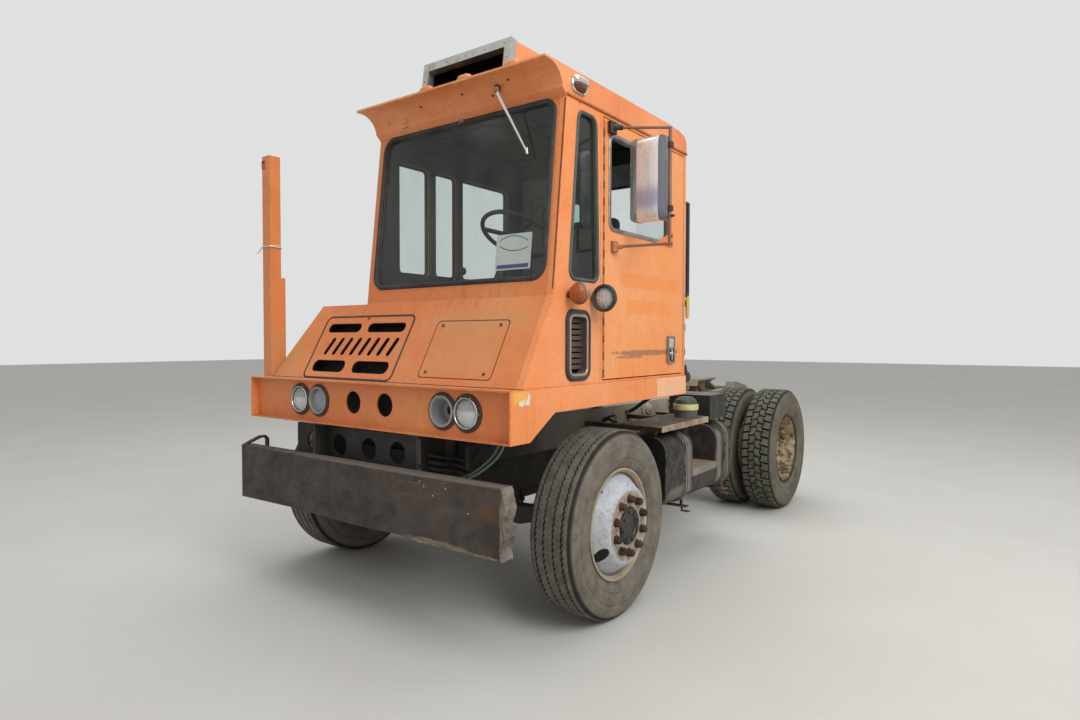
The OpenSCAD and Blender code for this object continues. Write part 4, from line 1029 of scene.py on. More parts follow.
@dataclass(frozen=True)
class Cloth(Finish):
    """Worn woven cover: crossed threads, rubbed paler in patches."""

    colour: Colour = "23252b"
    rubbed: Colour = "4b4a4a"
    threads: float = 900.0

    def build(self, g: Graph) -> bpy.types.Material:
        """A weave from two crossed waves, with rubbed patches and a soft sheen."""
        x, y, z = g.parts()
        warp = g.calc("SINE", g.times(x, self.threads))
        weft = g.calc("SINE", g.times(g.plus(y, z), self.threads))
        weave = g.times(warp, weft)
        patch = g.patches(0.45, 0.75, 7, 4, 0.6)
        colour = g.mix(g.times(patch, 0.6), self.colour, self.rubbed)
        colour = g.mix(g.between(weave, -0.2, 0.9, (0.0, 0.25)), colour, self.rubbed)
        normal = g.bump(weave, 0.0008, 0.6)
        return g.shade(colour, 0.85, normal=normal, Sheen_Weight=0.25, Sheen_Roughness=0.5)


@dataclass(frozen=True)
class BandedCan(Finish):
    """Filter canister: black body, a pale band and a dark olive top, by height."""

    foot: float = 0.945
    body: Colour = "5d565a"
    band: Colour = "d9cf8a"
    dome: Colour = "3c433c"

    def build(self, g: Graph) -> bpy.types.Material:
        """Three colours by height over the deck, all dusty."""
        _, _, z = g.parts()
        rise = g.calc("SUBTRACT", z, self.foot)
        colour = g.mix(g.between(rise, 0.052, 0.055), self.body, self.band)
        colour = g.mix(g.between(rise, 0.092, 0.096), colour, self.dome)
        dirt = g.times(g.patches(0.4, 0.7, 26, 5, 0.7), 0.35)
        colour = g.mix(dirt, colour, "4f4538")
        return g.shade(colour, 0.55, normal=g.bump(g.noise(150, 3), 0.0008, 0.4))


CAB_ROOM = Room((-327, -600, 1270), (1012, 1016, 2806), (-440, 1709), 0.111)
REAR_ROOM = replace(CAB_ROOM, high=(1012, 1033, 2806))
REAR_DOOR_ROOM = replace(CAB_ROOM, high=(1012, 1043, 2806))
BOX_ROOM = Room((36, -500, 2868), (646, 190, 3053), (-420, 2842), 0.0)
# The grille slots' walls behind the panel's face, painted near black as shade.
SLOT_SHADE_ROOM = Room((-640, -780, 1276), (110, -400, 1616), (-708.7, 1258), 248 / 451)
TAN_DIRT = "c3935f"

ORANGE = WornPaint("orange_paint", "ee8c4c", "f3a069", "dc7434")
# Darker copy of the orange for the faces that look forwards, also in the cab front's copy below: painted shade; the tan
# marks are dirt.
ORANGE_FRONT_SHADED = WornPaint("orange_front_shaded", "dc7c40", "e28f55", "c8652f", grime_share=0.35,
                         splash_top=1.36, splash_share=0.22, shaft=SLOT_SHADE_ROOM, marks=(
                             Mark((-905, -640, 1390), (120, 260, 210), TAN_DIRT, 0.55, 0.5, 9.0, soft=0.3),
                             Mark((572, -575, 1440), (262, 160, 190), TAN_DIRT, 0.3, 0.55, 7.0, soft=0.3),
                             Mark((640, -560, 1600), (330, 200, 60), TAN_DIRT, 0.4, 0.5, 9.0, soft=0.3)))
CAB_FRONT_SHADED_PAINT = replace(ORANGE_FRONT_SHADED, name="cab_front_shaded_paint", room=CAB_ROOM, lining="4a4b4a", marks=(
    Mark((640, -560, 1600), (330, 200, 60), TAN_DIRT, 0.4, 0.5, 9.0, soft=0.3),))
ORANGE_SKIRT = replace(ORANGE, name="skirt_paint", colour="f08f50", grime_share=0.3, splash_share=0.12)
LEFT_PAINT = replace(ORANGE, name="cab_left_paint", room=CAB_ROOM, lining="4a4b4a", grime_share=0.35, marks=(
    Mark((1032, -235, 2722), (20, 9, 40), "7a4a2c", 0.7, 0.5, 30.0, soft=0.3),
    Mark((1032, 1000, 1700), (30, 50, 360), "c87a45", 0.4, 0.5, 6.0, soft=0.4)))
# The cab's inner lining greys differ by wall as light falls inside: painted shade, darkest, in the roof and the roof
# box; painted light, lightest, on the rear wall.
RIGHT_PAINT = replace(ORANGE, name="cab_right_paint", room=CAB_ROOM, lining="3b3d3e")
REAR_PAINT = replace(ORANGE, name="cab_rear_paint", room=REAR_ROOM, lining="8b8e8d")
REAR_DOOR_PAINT = replace(REAR_PAINT, name="rear_door_paint", room=REAR_DOOR_ROOM)
ROOF_PAINT = replace(ORANGE, name="cab_roof_paint", room=CAB_ROOM, lining="2a2a2a", colour="e5834a")
BOX_PAINT = replace(ORANGE, name="roof_box_paint", room=BOX_ROOM, lining="141414", colour="e5834a")
ORANGE_DOOR = WornPaint("orange_door", "f09450", "f4a66c", "e27a36", grime_share=0.25,
                        room=CAB_ROOM, lining="4a4b4a", marks=(
                            Mark((1032, 550, 1830), (20, 368, 40), "ee8a35", 0.6, 0.1, 30.0, True),
                            Mark((1032, 540, 1680), (20, 280, 40), "ee8a35", 0.55, 0.12, 30.0, True),
                            Mark((1032, 520, 1415), (20, 400, 16), "5a5048", 0.6, 0.9, 24.0, soft=0.2),
                            Mark((1032, 300, 1392), (20, 150, 9), "5a5048", 0.5, 0.9, 30.0, soft=0.2)))
ORANGE_DEEP = replace(ORANGE, name="corner_plate_paint", colour="e07a36", faded="e88f4e")
RUSTY_ORANGE = WornPaint("rusty_orange", "b4622f", "c67a45", "8a4522", "53301d",
                         grime_share=0.7, chips=1.6, rough=0.55)
YELLOW = WornPaint("yellow_grip", "d8a531", "e2b750", "b5851f", grime_share=0.5)
PEACH = WornPaint("faded_patch", "f2b487", "f5c29c", "e79a64", grime_share=0.3, splash_share=0.1)
PALE_SCRAPE = WornPaint("pale_scrape", "e9dcc8", "f0e7d8", "d9b48c", grime_share=0.2)
RED_RUST = WornPaint("red_rust", "a4462a", "b85a38", "6f2f1e", grime_share=0.5)
CHASSIS = WornPaint("chassis_paint", "6e685e", "857d71", "453f38", "4a4036",
                    grime_share=0.5, chips=0.8, rough=0.62, splash_top=1.1, splash_share=0.4, dust=0.75, marks=(
                        Mark((430, 2200, 900), (60, 1300, 260), "a79c8b", 0.75, 0.35, 3.0, soft=0.3),
                        # Near black over the frame's front under the cab and fascia: painted shade.
                        Mark((0, -500, 850), (1100, 700, 400), "262421", 0.85, 0.2, 3.0, soft=0.3)))
RAIL_DUST = WornPaint("rail_dust", "9a9080", "ada391", "6a6053", "4a4036", grime_share=0.4,
                      rough=0.65, splash_top=1.1, splash_share=0.2, dust=0.6, edge_mm=3.0)
DARK_STEEL = WornPaint("dark_steel", "2b2926", "3d3a35", "1f1d1b", "4d4236",
                       grime_share=0.55, chips=0.7, rough=0.6, splash_top=1.2, splash_share=0.5, dust=0.7)
GUARD_PAINT = WornPaint("guard_paint", "2a2a29", "383634", "1b1a19", "4a4038",
                        grime_share=0.4, chips=0.6, rough=0.6, splash_top=0.9, splash_share=0.3, dust=0.5)
BLACK = WornPaint("black_paint", "1f1f1e", "34322f", "161615", "55493c",
                  grime_share=0.5, chips=0.6, rough=0.5, splash_top=1.0, splash_share=0.5, dust=0.6)
TANK_PAINT = RustedSteel("tank_steel", "2b2927", "4a4540", "5f574e", "a39c91", 14.0, 0.8, (
    Mark((1030, 980, 470), (40, 190, 60), "8a8178", 0.5, 0.4, 6.0, soft=0.3),
    Mark((1030, 1130, 640), (40, 40, 260), "8d8478", 0.5, 0.4, 8.0, soft=0.4),
    Mark((1030, 1650, 640), (40, 40, 260), "9d9488", 0.5, 0.4, 8.0, soft=0.4),
    # Near black over the tank's front end and dark brown inside the step's recess: painted shade.
    Mark((845, 779, 637), (220, 4, 260), "161514", 1.0, 0.0, 5.0, True),
    Mark((905, 1390, 740), (118, 208, 136), "3a241c", 0.75, 0.05, 20.0, True, 0.03)))
STRAP = WornPaint("strap_paint", "7d766b", "9a9286", "4a453e", "4e443a", grime_share=0.4,
                  chips=0.6, rough=0.55, splash_top=0.9, splash_share=0.4, dust=0.6, edge_mm=3.0)
TREAD_TAN = WornPaint("tread_tan", "9a8a70", "b3a386", "5f5342", "4a4036", grime_share=0.4,
                      splash_share=0.3, rough=0.7, dust=0.4, edge_mm=2.0)
DECK_STEEL = RustedSteel("deck_steel", "3b3528", "5d543f", "6b5636", "8f8669", edge_mm=6.0)
HANGER_STEEL = RustedSteel("hanger_steel", "3a3028", "6b5a4a", "7a6048", "94877a", 4.0)
DECK_EDGE = RustedSteel("deck_edge", "7d6654", "b09a86", "94705a", "c9b8a4", edge_mm=3.0)
TAN = WornPaint("tan_paint", "85755c", "978870", "5d4d3a", "3c3127",
                grime_share=0.7, chips=1.0, rough=0.6, splash_top=1.25, splash_share=0.45, dust=0.5)
VENT_PAINT = WornPaint("vent_paint", "4b423c", "5c5148", "2e2824", dust=0.7)
HINGE_DARK = WornPaint("hinge_dark", "6b3f28", "8a5534", "3a261b", "2c211a",
                       grime_share=0.7, chips=1.6, rough=0.6, edge_mm=3.0)
HINGE_RUST = WornPaint("hinge_rust", "b06a3c", "c88352", "7c4427", "43301f",
                       grime_share=0.6, chips=1.4, rough=0.6, edge_mm=3.0)
MIRROR_TUBE = WornPaint("mirror_tube", "7a5038", "95705a", "4a3226", "38291f",
                        grime_share=0.5, chips=1.5, rough=0.5, edge_mm=3.0)
BUMPER_STEEL = RustedSteel("bumper_steel", "3a3430", "4d4540", "584b43", "857a6e", 14.0, 0.7, (
    # The first two marks paint the bumper's legs and top behind its face near black: painted shade under the fascia.
    Mark((0, -718, 922), (600, 130, 84), "1b1a19", 1.0, 0.0, 5.0, True, 0.01),
    Mark((0, -688, 760), (600, 98, 300), "1b1a19", 1.0, 0.0, 5.0, True, 0.01),
    Mark((985, -864, 712), (86, 50, 46), "6b432a", 0.45, 0.5, 14.0, soft=0.4),
    Mark((1050, -840, 620), (24, 60, 240), "8e8478", 0.75, 0.5, 16.0, soft=0.3),
    Mark((620, -864, 513), (190, 50, 16), "8a7c68", 0.8, 0.6, 22.0, soft=0.4),
    Mark((300, -840, 832), (900, 60, 9), "857a6e", 0.6, 0.5, 12.0, soft=0.3)))
TORN = RustedSteel("torn_steel", "5a5148", "8a8074", "7a5a40", "b0a698", edge_mm=4.0)
NUT_STEEL = RustedSteel("nut_steel", "2b1f18", "5a3d28", "7a4a28", "8c6a48", 3.0, 0.5)
SPRING_STEEL = RustedSteel("spring_steel", "2a2522", "453a31", "63472f", "6e6252", edge_mm=5.0, pale_share=0.4)
BRIGHT = Metal("bright_steel")
DULL_BRIGHT = Metal("dull_bright_steel", "a3a19b", "6d655a", 0.42, 0.6)
PALE_METAL = Metal("pale_metal", "c6c4bd", "93826c", 0.4, 0.45)
PINK_METAL = Metal("pinkish_metal", "c9b0a0", "8f7664", 0.4, 0.5)
WIPER_METAL = Metal("wiper_metal", "e3e3e0", "a9a49a", 0.35, 0.3)
CHROME = Metal("lamp_chrome", "d9dad8", "8f8a80", 0.12, 0.2)
CHROME_PAINTED_REFLECTIONS = PaintedReflectionChrome("mirror_chrome")
REFLECTOR = Metal("lamp_reflector", "eeeeec", "b9b5aa", 0.25, 0.2, 0.55)
SHELL = WornPaint("lamp_shell", "322a25", "4a3f37", "211c19", "5e3d28",
                  grime_share=0.7, chips=1.0, rough=0.55, dust=0.4, edge_mm=3.0)
GREY_RING = WornPaint("grey_ring", "8c8a87", "a3a19d", "5d5148", "5e3d28",
                      grime_share=0.5, chips=1.0, rough=0.45, dust=0.3, edge_mm=2.0)
BOWL_GREY = WornPaint("bowl_grey", "8a898b", "9f9ea0", "6a686a", "4c4742",
                      grime_share=0.35, chips=0.2, rough=0.5, dust=0.4, edge_mm=2.0)
CLOUDED = Plastic("clouded_cover", "8f959c", "b8bcbf", 0.7, 0.4, 90.0)
GASKET = Rubber("gasket_rubber", "2a2b2c", "5a5b5a", 0.6, 0.6)
GREY_GASKET = Rubber("grey_gasket_rubber", "454f4f", "6d726d", 0.6, 0.6)
DIRT_LINE = Rubber("dirt_line", "3c2f26", "6b5340", 0.6, 0.7)
HOSE = Rubber("hose_rubber", "1b1b1a", "4c453b", 0.6, 0.6)
GREEN_HOSE = Rubber("green_hose_rubber", "5f8272", "a3ac9c", 0.6, 0.5)
WINDSHIELD = Glass("windshield_glass", "f5f8f7", "a9a79b", 0.03, 1.38, (
    Mark((1025, -190, 2225), (40, 150, 440), "d3e2da", 1.0, 0.0, 5.0, True),))
LAMP_GLASS = Lens("lamp_glass", "f6f7f6", 0.55, 300.0, 0.0016, 0.12, (
    # Grey over the lenses' upper halves: painted shade on the glass.
    Mark((80, -790, 1180), (900, 60, 30), "93979a", 0.6, 0.3, 25.0, True, 0.3),))
AMBER = Lens("amber_lens", "8f4a1e", 0.2, 700.0, 0.0008, 0.45)
BROWN_AMBER = Lens("brown_amber_lens", "b3602e", 0.2, 500.0, 0.001, 0.4)
BROWN_LENS = Lens("brown_lens", "6a3a20", 0.1, 600.0, 0.0006, 0.4)
RED_LENS = Lens("red_lens", "8e1c14", 0.3, 700.0, 0.0008, 0.35)
BLACK_PLASTIC = Plastic("black_plastic")
SHADE_BLACK = Plastic("painted_shade_black", "070707", "1a1816", 0.3, 0.9)
BLUE = Plastic("blue_coupling", "27507c", "59636b", 0.5, 0.45)
PALE_CARD = Plastic("pale_card", "dfdedb", "b9b3a8", 0.3, 0.6)
VIOLET = Plastic("violet_band", "4d4a86", "8e8ba6", 0.3, 0.6)
PALE_STICKER = Plastic("pale_sticker", "c9c5b8", "8e8474", 0.6, 0.6)
REFLECT_TAPE = Plastic("reflector_patch", "f0a63a", "dccfb8", 0.5, 0.45)
SEAT_CLOTH = Cloth("seat_cover")
BELT = Cloth("belt_webbing", "2b2b2c", "45443f", 1500.0)
CAN = BandedCan("filter_can")
HUB_OIL = Plastic("hub_oil", "1a1715", "4a3f33", 0.6, 0.35)
FRONT_HUB, REAR_HUB = (0 - 1.512, 0.506), (3.038 - 1.512, 0.525)  # (y, z) in metres of the row frame
FRONT_TYRE = TyreRubber("front_tyre_rubber", FRONT_HUB, 0.506, 0.495, "4a453f", "8f8678", "7a746a")
REAR_TYRE = TyreRubber("rear_tyre_rubber", REAR_HUB, 0.525, 0.509, "45423a", "857a69", "6f6f63")
FRONT_WHEEL = WheelPaint("wheel_grey", FRONT_HUB, "b8b9b9", "9a8a70")
FRONT_DISC = replace(FRONT_WHEEL, name="front_disc_paint", hub_radius=0.094, disc="bcc0c4", dull="a5a8ab",
                     face="a89d8b", rust_share=0.12, marks=(
                         # Black ovals on the disc where its two hand holes are, which aren't cut: painted shade of the
                         # holes.
                         Mark((0, -206, 388), (3000, 27, 44), "060606", 1.0, 0.0, 5.0),
                         Mark((0, 206, 624), (3000, 27, 44), "060606", 1.0, 0.0, 5.0)))
REAR_WHEEL = WheelPaint("wheel_cream", REAR_HUB, "c9b58e", "d2bf98",
                        "2c2622", "a08c68", rust_share=0.6, hub_radius=0.1)

NODE_FINISH: dict[str, Finish] = {
    "frame_rails": CHASSIS, "crossmembers": CHASSIS, "bumper": BUMPER_STEEL, "guard_plate": GUARD_PAINT,
    "fascia_pan": ORANGE_FRONT_SHADED, "fascia_skirt": ORANGE_SKIRT, "lamp_buckets": SHELL, "lamp_lenses": LAMP_GLASS,
    "amber_lamps": AMBER, "hood": ORANGE_FRONT_SHADED, "grille_panel": ORANGE_FRONT_SHADED, "access_panel": ORANGE_FRONT_SHADED,
    "engine_block": DARK_STEEL, "radiator": BLACK, "cab_floor": BLACK, "cab_front": CAB_FRONT_SHADED_PAINT,
    "cab_left": LEFT_PAINT, "cab_right": RIGHT_PAINT, "cab_rear": REAR_PAINT, "cab_roof": ROOF_PAINT,
    "cab_glass": WINDSHIELD, "roof_box": BOX_PAINT, "dash": BLACK_PLASTIC, "steering_wheel": BLACK_PLASTIC,
    "seat_base": BLACK, "seat_cushions": SEAT_CLOTH, "vent_louvre": VENT_PAINT, "corner_post": ORANGE_FRONT_SHADED,
    "grab_rail": BLACK, "air_hose": HOSE, "step_tank": TANK_PAINT, "deck_plate": DECK_STEEL, "filter_canister": CAN,
    "hydraulic_tank": BLACK, "battery_box": BLACK, "air_tanks": CHASSIS, "front_axle": DARK_STEEL,
    "leaf_springs": SPRING_STEEL, "rear_axle": DARK_STEEL, "propshaft": DARK_STEEL, "rear_ramp": CHASSIS,
    "left_door": ORANGE_DOOR, "door_glass": WINDSHIELD, "door_mirror": MIRROR_TUBE, "rear_door": REAR_DOOR_PAINT,
    "boom": TAN, "fifth_wheel": TAN, "lift_barrels": BLACK, "lift_rods": BRIGHT, "tie_rod": DARK_STEEL,
    "knuckle_left": DARK_STEEL, "knuckle_right": DARK_STEEL, "front_tyre_left": FRONT_TYRE,
    "front_rim_left": FRONT_WHEEL, "front_tyre_right": FRONT_TYRE, "front_rim_right": FRONT_WHEEL,
    "rear_tyres_left": REAR_TYRE, "rear_rims_left": REAR_WHEEL, "rear_tyres_right": REAR_TYRE,
    "rear_rims_right": REAR_WHEEL,
}


def dress_nodes() -> None:
    """Gives every carried-over node its own finish in all its material slots."""
    for name, obj in frame["nodes"].items():
        material = NODE_FINISH[name].material()
        if not obj.data.materials:
            obj.data.materials.append(material)
        for slot in obj.material_slots:
            slot.material = material
        log.info("%s: dressed as %s", name, material.name)


# Studio -------------------------------------------------------------------------------------------


@dataclass(frozen=True)
class Studio:
    """Camera as in the photograph, a pale floor and plain soft light."""

    camera_m: tuple[float, float, float] = (2.904, -4.697, 1.488)
    yaw: float = 36.54
    pitch: float = -1.66
    roll: float = -0.11
    lens: float = 22.89
    floor_half: float = 45.0
    floor_colour: Colour = "c9c7c1"
    sky: Colour = "dfe1e1"
    light_level: float = 0.62

    def camera(self) -> None:
        """Sets the camera: forward is (-sin yaw cos pitch, cos yaw cos pitch, sin pitch)."""
        yaw, pitch, roll = (math.radians(a) for a in (self.yaw, self.pitch, self.roll))
        forward = Vector((-math.sin(yaw) * math.cos(pitch), math.cos(yaw) * math.cos(pitch), math.sin(pitch)))
        right = forward.cross(Vector((0, 0, 1))).normalized()
        up = right.cross(forward)
        turn = Matrix.Rotation(roll, 3, forward)
        right, up = turn @ right, turn @ up
        data = bpy.data.cameras.new("camera")
        data.sensor_fit = "HORIZONTAL"
        data.sensor_width = 36.0
        data.lens = self.lens
        data.clip_start, data.clip_end = 0.05, 400.0
        camera = bpy.data.objects.new("camera", data)
        camera.matrix_world = Matrix((
            (right.x, up.x, -forward.x, self.camera_m[0]),
            (right.y, up.y, -forward.y, self.camera_m[1]),
            (right.z, up.z, -forward.z, self.camera_m[2]),
            (0, 0, 0, 1),
        ))
        bpy.context.scene.collection.objects.link(camera)
        bpy.context.scene.camera = camera

    def floor(self) -> None:
        """A wide flat floor at height zero, in pale concrete with faint patches."""
        half = self.floor_half
        mesh = bpy.data.meshes.new("floor")
        mesh.from_pydata([(-half, -half, 0), (half, -half, 0), (half, half, 0), (-half, half, 0)], [], [(0, 1, 2, 3)])
        g = Graph("floor")
        patch = g.patches(0.3, 0.7, 0.8, 5, 0.6)
        colour = g.mix(g.times(patch, 0.35), self.floor_colour, "bdbab2")
        mesh.materials.append(g.shade(colour, 0.85, Specular_IOR_Level=0.2))
        floor = bpy.data.objects.new("floor", mesh)
        bpy.context.scene.collection.objects.link(floor)

    def lamp(self, name: str, place: Sequence[float], size: float, watts: float) -> None:
        """A square soft lamp aimed at the middle of the vehicle."""
        data = bpy.data.lights.new(name, "AREA")
        data.size = size
        data.energy = watts
        lamp = bpy.data.objects.new(name, data)
        aim = Vector((0, 0, 1.2)) - Vector(place)
        lamp.matrix_world = Matrix.Translation(place) @ aim.to_track_quat("-Z", "Y").to_matrix().to_4x4()
        bpy.context.scene.collection.objects.link(lamp)

    def light(self) -> None:
        """An even sky, pale to the eye and in reflections, and two wide lamps."""
        world = bpy.data.worlds.new("studio")
        bpy.context.scene.world = world
        world.use_nodes = True
        tree = world.node_tree
        tree.nodes.clear()
        seen = add_node(tree, "Background", {"Color": self.sky}).outputs[0]
        light = add_node(tree, "Background", {"Color": (0.97, 0.985, 1.0, 1), "Strength": self.light_level}).outputs[0]
        path = add_node(tree, "LightPath")
        share = path.outputs["Is Camera Ray"]
        for ray in ("Is Glossy Ray", "Is Transmission Ray"):
            share = add_node(tree, "Math", {0: share, 1: path.outputs[ray]}, operation="MAXIMUM").outputs[0]
        mix = add_node(tree, "MixShader", {0: share, 1: light, 2: seen})
        add_node(tree, "OutputWorld", {"Surface": mix.outputs[0]})
        self.lamp("key_lamp", (6.5, -3.5, 6.5), 5.0, 420.0)
        self.lamp("top_lamp", (-1.0, 1.0, 8.0), 7.0, 260.0)

    def build(self) -> None:
        """Camera first, then floor and light, and the plain view transform."""
        self.camera()
        self.floor()
        self.light()
        bpy.context.scene.view_settings.view_transform = "Standard"


# Wheels -------------------------------------------------------------------------------------------


class Side(Enum):
    """Left or right of the vehicle."""

    LEFT = 1
    RIGHT = -1


def both_ways(surface: Surface, side: Side) -> Surface:
    """The surface as made for the left, or its mirror image for the right."""
    return surface if side is Side.LEFT else surface.mirrored()


def both_sides(parts: Sequence[Surface]) -> list[Surface]:
    """The surfaces followed by their mirror images."""
    return [*parts, *(part.mirrored() for part in parts)]


# Half widths of the tread and of the bore, and how many columns of the wall the cross cuts reach
TREAD_HALF, BORE_HALF, SHOULDER_COLUMNS = 96.0, 100.0, 7
# Steps within one pitch, and which of them are cut in even and in odd rows of blocks
CROSS_STEPS = ((0.0, 0.03, 0.22, 0.25, 0.5, 0.53, 0.72, 0.75), (0, 1, 1, 0, 0, 0, 0, 0), (0, 0, 0, 0, 0, 1, 1, 0))
PLAIN_STEPS = ((0.0, 0.5), (0, 0), (0, 0))


@dataclass(frozen=True)
class Tread:
    """How a tyre's tread is cut: zig-zag grooves round it, and cross cuts where there are any."""

    pitches: int
    grooves: tuple[float, ...]
    groove_half: float
    groove_depth: float
    zigzag: float
    cross_depth: float = 0.0
    slant: float = 0.0


@dataclass(frozen=True)
class Tyre:
    """One tyre round an axis along X: radius, half width, and its tread."""

    crown: float
    tread: Tread
    half_width: float = 140.0
    bead: float = 300.0
    bore: float = 285.4

    def wall(self) -> Array:
        """Side profile from the tread's edge to the bead as (out, radius), smoothed, with raised rings.

        The rings add 1.3 mm times a narrow cosine hump at each ring's radius.
        """
        r, w = self.crown, self.half_width
        knots = np.array([
            [TREAD_HALF, r - 1.2], [103, r - 4], [110, r - 10], [117, r - 17], [124, r - 27], [130, r - 40],
            [134, r - 52], [137.5, r - 74], [w - 0.5, r - 110], [139, 375], [134, 350], [128, 333],
            [121, 320], [117.5, 313], [112, 306], [107, self.bead],
        ])
        fine = np.linspace(0, len(knots) - 1, 46)
        side, radius = (np.interp(fine, np.arange(len(knots)), column) for column in knots.T)
        side[1:-1] = np.convolve(side, [0.25, 0.5, 0.25], "valid")
        for ring, width, height in ((333, 5, 1.6), (352, 4, 1.1), (r - 82, 4, 1.2), (r - 66, 4, 1.4),
                                    (r - 56, 3, 1.0), (r - 44, 4, 1.2)):
            side = side + height * np.clip(np.cos((radius - ring) / width * np.pi / 2), 0, 1) * (
                np.abs(radius - ring) < width)
        return np.stack([np.minimum(side, w), radius], 1)

    def columns(self) -> tuple[Array, Array, Array, Array]:
        """The tread's columns across its width: place, depth, share of the zig-zag, and which row of blocks."""
        cut = self.tread
        edges = [-TREAD_HALF, *cut.grooves, TREAD_HALF]
        last = len(edges) - 2
        found: list[tuple[float, float, float, int]] = []
        for i in range(last + 1):
            low = edges[i] + (cut.groove_half if i else 0)
            high = edges[i + 1] - (cut.groove_half if i < last else 0)
            sways = (1.0 if i else 0.0, 0.6, 0.6, 1.0 if i < last else 0.0)
            found += [(x, 0.0, sway, i) for x, sway in zip(np.linspace(low, high, 4), sways)]
            if i < last:
                found += [(edges[i + 1] + s * cut.groove_half, cut.groove_depth, 1.0, -1) for s in (-0.6, 0.6)]
        place, depth, sway, row = (np.array(values) for values in zip(*found))
        return place, depth, sway, row

    def surface(self, middle_x: float, centre: tuple[float, float]) -> Surface:
        """The whole tyre as one grid: angle by profile column.

        The point at angle t and column j is (x + sway * zig(t), c + r(t) * (cos t, sin t)); r drops by the
        groove's depth in grooves, and by the cross depth where a cross cut lies.

        Args:
            middle_x: Middle of the tyre along X.
            centre: Place and height of the axle, as (y, z).
        Returns:
            The closed tyre.
        """
        cut = self.tread
        share, first, second = CROSS_STEPS if cut.cross_depth else PLAIN_STEPS
        turn = ((np.arange(cut.pitches)[:, None] + np.array(share)[None]) / cut.pitches * 2 * np.pi).reshape(-1)
        zig = cut.zigzag * (2 * np.abs(2 * ((turn * cut.pitches / (2 * np.pi)) % 1.0) - 1) - 1)
        place, depth, sway, row = self.columns()
        side = self.wall()
        crown = self.crown - 3.0 * (place / TREAD_HALF) ** 2
        wall_x = np.concatenate([-side[::-1, 0], place, side[:, 0], [BORE_HALF, -BORE_HALF]])
        wall_r = np.concatenate([side[::-1, 1], crown - depth, side[:, 1], [self.bore, self.bore]])
        count, start = len(wall_x), len(side)
        end = start + len(place)
        sways = np.zeros(count)
        sways[start:end] = sway
        x = wall_x[None] + sways[None] * zig[:, None]
        r = np.repeat(wall_r[None], len(turn), 0)
        angle = np.repeat(turn[:, None], count, 1)
        if cut.cross_depth:
            cuts = [np.tile(np.array(steps, bool), cut.pitches) for steps in (first, second)]
            cross = self.cross_cuts(cuts, row, start, end, count)
            r = np.minimum(r, np.maximum(self.crown - 3 - cross, 0) + (cross == 0) * 1e3)
            lean = np.zeros(count)
            slanted = slice(start - SHOULDER_COLUMNS, end + SHOULDER_COLUMNS)
            lean[slanted] = np.clip(wall_x[slanted] / TREAD_HALF, -1.15, 1.15)
            angle = angle + np.abs(lean)[None] * cut.slant / self.crown
        points = np.stack([middle_x + x, centre[0] + r * np.cos(angle), centre[1] + r * np.sin(angle)], -1)
        return grid(points, wrap_u=True, wrap_v=True)

    def cross_cuts(self, cuts: Sequence[Array], row: Array, start: int, end: int, count: int) -> Array:
        """Depth of the cross cuts at each step and column: outer rows full, inner rows 0.55, shoulders 0.9.

        Args:
            cuts: Which steps are cut in even rows of blocks and which in odd ones.
            row: Row of blocks of each tread column.
            start: First tread column.
            end: Column after the last tread column.
            count: Number of columns.
        Returns:
            The depths.
        """
        rows = np.full(count, -1)
        rows[start:end] = row
        last = int(row.max())
        depth = np.zeros((len(cuts[0]), count))
        for k in range(last + 1):
            depth[np.ix_(cuts[k % 2], rows == k)] = self.tread.cross_depth * (1.0 if k in (0, last) else 0.55)
        for chosen, low in ((cuts[0], start - SHOULDER_COLUMNS), (cuts[last % 2], end)):
            depth[np.ix_(chosen, np.arange(low, low + SHOULDER_COLUMNS))] = self.tread.cross_depth * 0.9
        return depth


FRONT_TREAD = Tread(100, (-78.0, -28.0, 28.0, 78.0), 6.2, 12.0, 4.0)
REAR_TREAD = Tread(46, (-52.0, 0.0, 52.0), 6.0, 15.0, 8.0, 15.0, 20.0)


@dataclass(frozen=True)
class Wheel:
    """What both kinds of wheel share: the side, the axle's place, the nuts and how pieces are put on."""

    side: Side
    centre: tuple[float, float]
    kind: str
    nut_circle: float = 143.0

    def around(self, radius: float, count: int, first: float = 90.0) -> Array:
        """Places (y, z) evenly round the axle: centre + radius (cos, sin), the first at an angle in degrees."""
        turn = np.arange(count) * 2 * np.pi / count + math.radians(first)
        return np.stack([self.centre[0] + radius * np.cos(turn), self.centre[1] + radius * np.sin(turn)], 1)

    def nuts(self, face: Plane, level: float) -> Surface:
        """Ten wheel nuts on their circle, standing on a level of the face."""
        return heads(face, self.around(self.nut_circle, 10), 20.5, 30.5, 6, level)

    def put(self, name: str, slot: str, finish: Finish, parts: Sequence[Surface], **more: Any) -> None:
        """One piece of this side that turns with the wheel.

        Args:
            name: Its name, in which {} stands for the side.
            slot: The record's material slot.
            finish: Its finish.
            parts: Surfaces as made for the left.
            more: What piece() takes besides.
        """
        word = self.side.name.lower()
        piece(name.format(word), slot, finish, [both_ways(part, self.side) for part in parts],
              f"{self.kind}_{word}", **more)


